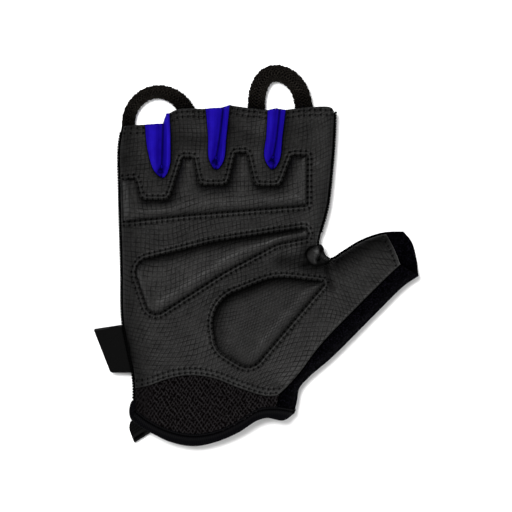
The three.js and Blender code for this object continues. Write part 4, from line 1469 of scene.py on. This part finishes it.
def make_tab():
    """The webbing folded back on itself at the strap's end, the mouth of its fold outside in painted shade.
    """
    half = TAB["fold"] / 2
    outer = tab_line(TAB["fold"], TAB["length"], -TAB_ROOT)
    core = outer.copy()
    core[:, 1] = half + (outer[:, 1] - half) * (half - WEBBING) / half
    bend_at = TAB["length"] - half
    bend = outer[:, 0] > bend_at
    core[bend, 0] = bend_at + (outer[bend, 0] - bend_at) * (half - WEBBING) / half
    level = np.zeros(TAB_STRAIGHT)
    mouth = np.concatenate([level, hill(TAB_BEND - MOUTH_TURN, MOUTH_HALF), level])
    lip_highlight = np.concatenate([level, hill(TAB_BEND - LIP_TURN, LIP_HALF), hill(np.arange(TAB_STRAIGHT), 0.9)])
    run = np.concatenate([[0], np.cumsum(np.linalg.norm(np.diff(outer, axis=0), axis=1))])
    c, s = math.cos(TAB["turn"]), math.sin(TAB["turn"])
    sections, threads, mouth_shade, lip_highlights = [], [], [], []
    for w in np.linspace(-0.5, 0.5, TAB_SLICES) * TAB["width"]:
        soft = 1 - TAB_SOFT * max(0, abs(w) / TAB["width"] * 2 - 0.9) / 0.1
        open_here = mouth * smoothstep(w, -1.5, -0.5) * (1 - smoothstep(w, 3.9, 4.5))
        pressed = outer - open_here[:, None] * np.array(MOUTH_PRESS)
        loop = np.vstack([pressed, core[::-1]])
        centre = np.vstack([(outer + core) / 2, ((outer + core) / 2)[::-1]])
        loop = centre + (loop - centre) * soft
        x, z = loop.T
        lean = w * np.where(x < 0, 1 - TAB_NARROW * x**2, 1) - TAB_LEAN * (1 - x / TAB["length"])
        sections.append(np.column_stack([
            TAB["x"] + x * c + lean * s, TAB["y"] + x * s - lean * c, TAB["foot"] + z]))
        threads.append(np.column_stack([np.concatenate([run, run[::-1]]), np.full(len(loop), w), z])[::-1])
        # Painted shade inside the fold and in its mouth, and a painted highlight on the lip
        mouth_shade.append(np.concatenate([np.ones(len(core)), np.minimum(1, 1.6 * open_here)[::-1]]))
        lip_highlights.append(np.concatenate([np.zeros(len(core)), LIP_LIT * lip_highlight[::-1]]))
    tab = made("tab_wrist", loft(np.array(sections)[:, ::-1]), webbing, "webbing", ["wrist_tab"], {
        "thread": np.vstack(threads), "dark_and_shade": np.concatenate(mouth_shade), "wear_and_highlight": np.concatenate(lip_highlights)})


# The braid of the pull loops: points round it, steps along it, strands round it and the length of one twist
BRAID_AROUND = 96
BRAID_STEP = 0.2
BRAID_STRANDS = 16
BRAID_PITCH = 1.45
BRAID_RISE = 0.3
BRAID_SWELL = 0.4
# Along Y, where the loops climb, and where loop 1 comes down out of the little finger
CLIMB_FROM_TO = (68, 86)
DESCENT = 1.6
DESCENT_FROM_TO = (58, 61)


def make_loop(number, rows_of_loop, ends):
    """A flat braid whose ends run on inside the fingers."""
    start, end = ends
    path = resampled(curve((start, *rows_of_loop, end)), BRAID_STEP)
    line, widths = path[:, :2], path[:, 2]
    turn = np.linspace(0, 2 * math.pi, BRAID_AROUND, endpoint=False) - math.pi / 2
    low = LOOP_Z + LOOP_CLIMB * smoothstep(line[:, 1], *CLIMB_FROM_TO) + LOOP_THICK / 2
    in_little = (number == 1) * (line[:, 0] < -50)
    low += DESCENT * (1 - smoothstep(line[:, 1], *DESCENT_FROM_TO)) * in_little
    run = np.arange(len(line)) * BRAID_STEP
    a = turn * BRAID_STRANDS
    b = 2 * math.pi * run[:, None] / BRAID_PITCH
    high = np.maximum(np.cos(a[None, :] + b), np.cos(a[None, :] - b))
    across = np.sign(np.cos(turn)) * np.abs(np.cos(turn)) ** 0.7
    rise = np.sign(np.sin(turn)) * np.abs(np.sin(turn)) ** 0.8
    rough = 0.12 * np.sin(run * 2.1) + 0.1 * np.sin(run * 4.7 + 1) + 0.08 * np.sin(run * 7.3)
    out = (widths[:, None] / 2 + rough[:, None] + BRAID_SWELL * high) * across[None, :]
    up = low[:, None] + (LOOP_THICK / 2 - BRAID_RISE + BRAID_RISE * high) * rise[None, :]
    flat = line[:, None, :] + left_of(line)[:, None, :] * out[:, :, None]
    part = loft(np.concatenate([flat, up[:, :, None]], axis=2)[:, ::-1])
    strands = {"strand": smoothstep(high[:, ::-1].ravel(), 0.2, 0.9)}
    made(f"loop_{number}", part, braid, "braid", [f"pull_loop_{number}"], strands)


def label_middle(p):
    """The label's middle height, which waves towards its free end."""
    return SEAM_Z + 0.35 * np.sin((p[:, 0] + 0.3 * p[:, 1]) / 3.2) * smoothstep(-p[:, 0], 62, 66)


def make_label():
    """The bare woven label in the side seam, with a pale fold along its upper edge."""
    outline = rounded(LABEL, 0.8)
    sheet = shell(filled(outline, 1.2), outline, lambda p: label_middle(p) - LABEL_HALF,
                  lambda p: label_middle(p) + LABEL_HALF)
    fold = tube(resampled(np.array(LABEL_FOLD), 0.5), SEAM_Z + 0.1, 0.5, 0.45, 8)
    part = joined(sheet, fold)
    folded = np.concatenate([np.zeros(len(sheet[0])), np.full(len(fold[0]), 0.9)])
    label = made("label_side", part, label_weave, "label_weave", ["side_label"],
                 {"thread": part[0], "wear_and_highlight": folded})


make_leather()
make_pad("pad_knuckle", pad_outlines[0], "knuckle_pad", pad_finish, "pad_leather")
make_pad("pad_palm", pad_outlines[1], "palm_pad", pad_finish, "pad_leather")
make_pad("pad_thumb", pad_outlines[2], "thumb_pad", thumb_pad_finish, "thumb_pad_leather")
make_back()
make_terry()
make_overcast("overcast_little", between(little_side, *OVERCAST_ENDS["little"]))
make_overcast("overcast_index", between(inner_side, *OVERCAST_ENDS["index"]))
for gusset_row in zip((1, 2, 3), slots, creases, SLOT_HEMS, CROTCH_FOLDS):
    make_gusset(*gusset_row)
make_net()
make_binding()
make_strap()
make_tab()
for loop_row in zip((1, 2), LOOPS, LOOP_ENDS):
    make_loop(*loop_row)
make_label()

# The floor
bpy.ops.object.select_all(action="DESELECT")
bpy.ops.mesh.primitive_plane_add(size=6, location=(0, 0, -0.0002))
floor = bpy.context.object
floor.name = "floor"
paper = Finish("paper", {"Roughness": 0.9, "Specular IOR Level": 0.1})
floor.data.materials.append(paper.use(Base_Color=paper.mix(paper.noise(60) * 0.1, grey(0.9), grey(0.88))))
floor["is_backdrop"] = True


# The light: the floor and the glove each have two lamps of their own
def area_light(name, place, size, power, receivers):
    """A round soft light aimed at the glove, which lights only what is in the receivers' collection."""
    bpy.ops.object.light_add(type="AREA", location=place)
    light = bpy.context.object
    light.name = name
    light.data.shape = "DISK"
    light.data.size = size
    light.data.energy = power
    light.rotation_euler = (-Vector(place)).to_track_quat("-Z", "Y").to_euler()
    light.light_linking.receiver_collection = receivers
    return light


stage_lit = bpy.data.collections.new("stage_lit")
stage_lit.objects.link(floor)
glove_lit = bpy.data.collections.new("glove_lit")
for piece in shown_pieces():
    glove_lit.objects.link(piece)
area_light("floor_key", (-0.27, 0.3, 1.5), 0.45, 30, stage_lit)
area_light("floor_fill", (0.1, -0.1, 1.4), 2.6, 20, stage_lit)
area_light("low_right", (0.6, -0.65, 1.1), 0.5, 13, glove_lit)
area_light("overhead", (0.05, -0.1, 1.5), 0.7, 9, glove_lit).visible_glossy = False
world = bpy.data.worlds.new("studio")
world.use_nodes = True
world.cycles_visibility.glossy = False
world.node_tree.nodes["Background"].inputs["Color"].default_value = (1, 1, 1, 1)
world.node_tree.nodes["Background"].inputs["Strength"].default_value = 0.2
bpy.context.scene.world = world
bpy.context.scene.view_settings.view_transform = "Standard"

# The camera looks straight down, and its frame is this wide where the leather is
FOCUS_Z = 10
FRAME_MM = 238.1
CAMERA_HEIGHT = 1600
CAMERA_OFF = -0.23
SENSOR = 36
bpy.ops.object.camera_add(
    location=(CAMERA_OFF * MM, CAMERA_OFF * MM, (CAMERA_HEIGHT + FOCUS_Z) * MM), rotation=(0, 0, 0))
camera = bpy.context.object
camera.data.sensor_width = SENSOR
camera.data.lens = SENSOR * CAMERA_HEIGHT / FRAME_MM
camera.data.clip_end = 20
bpy.context.scene.camera = camera
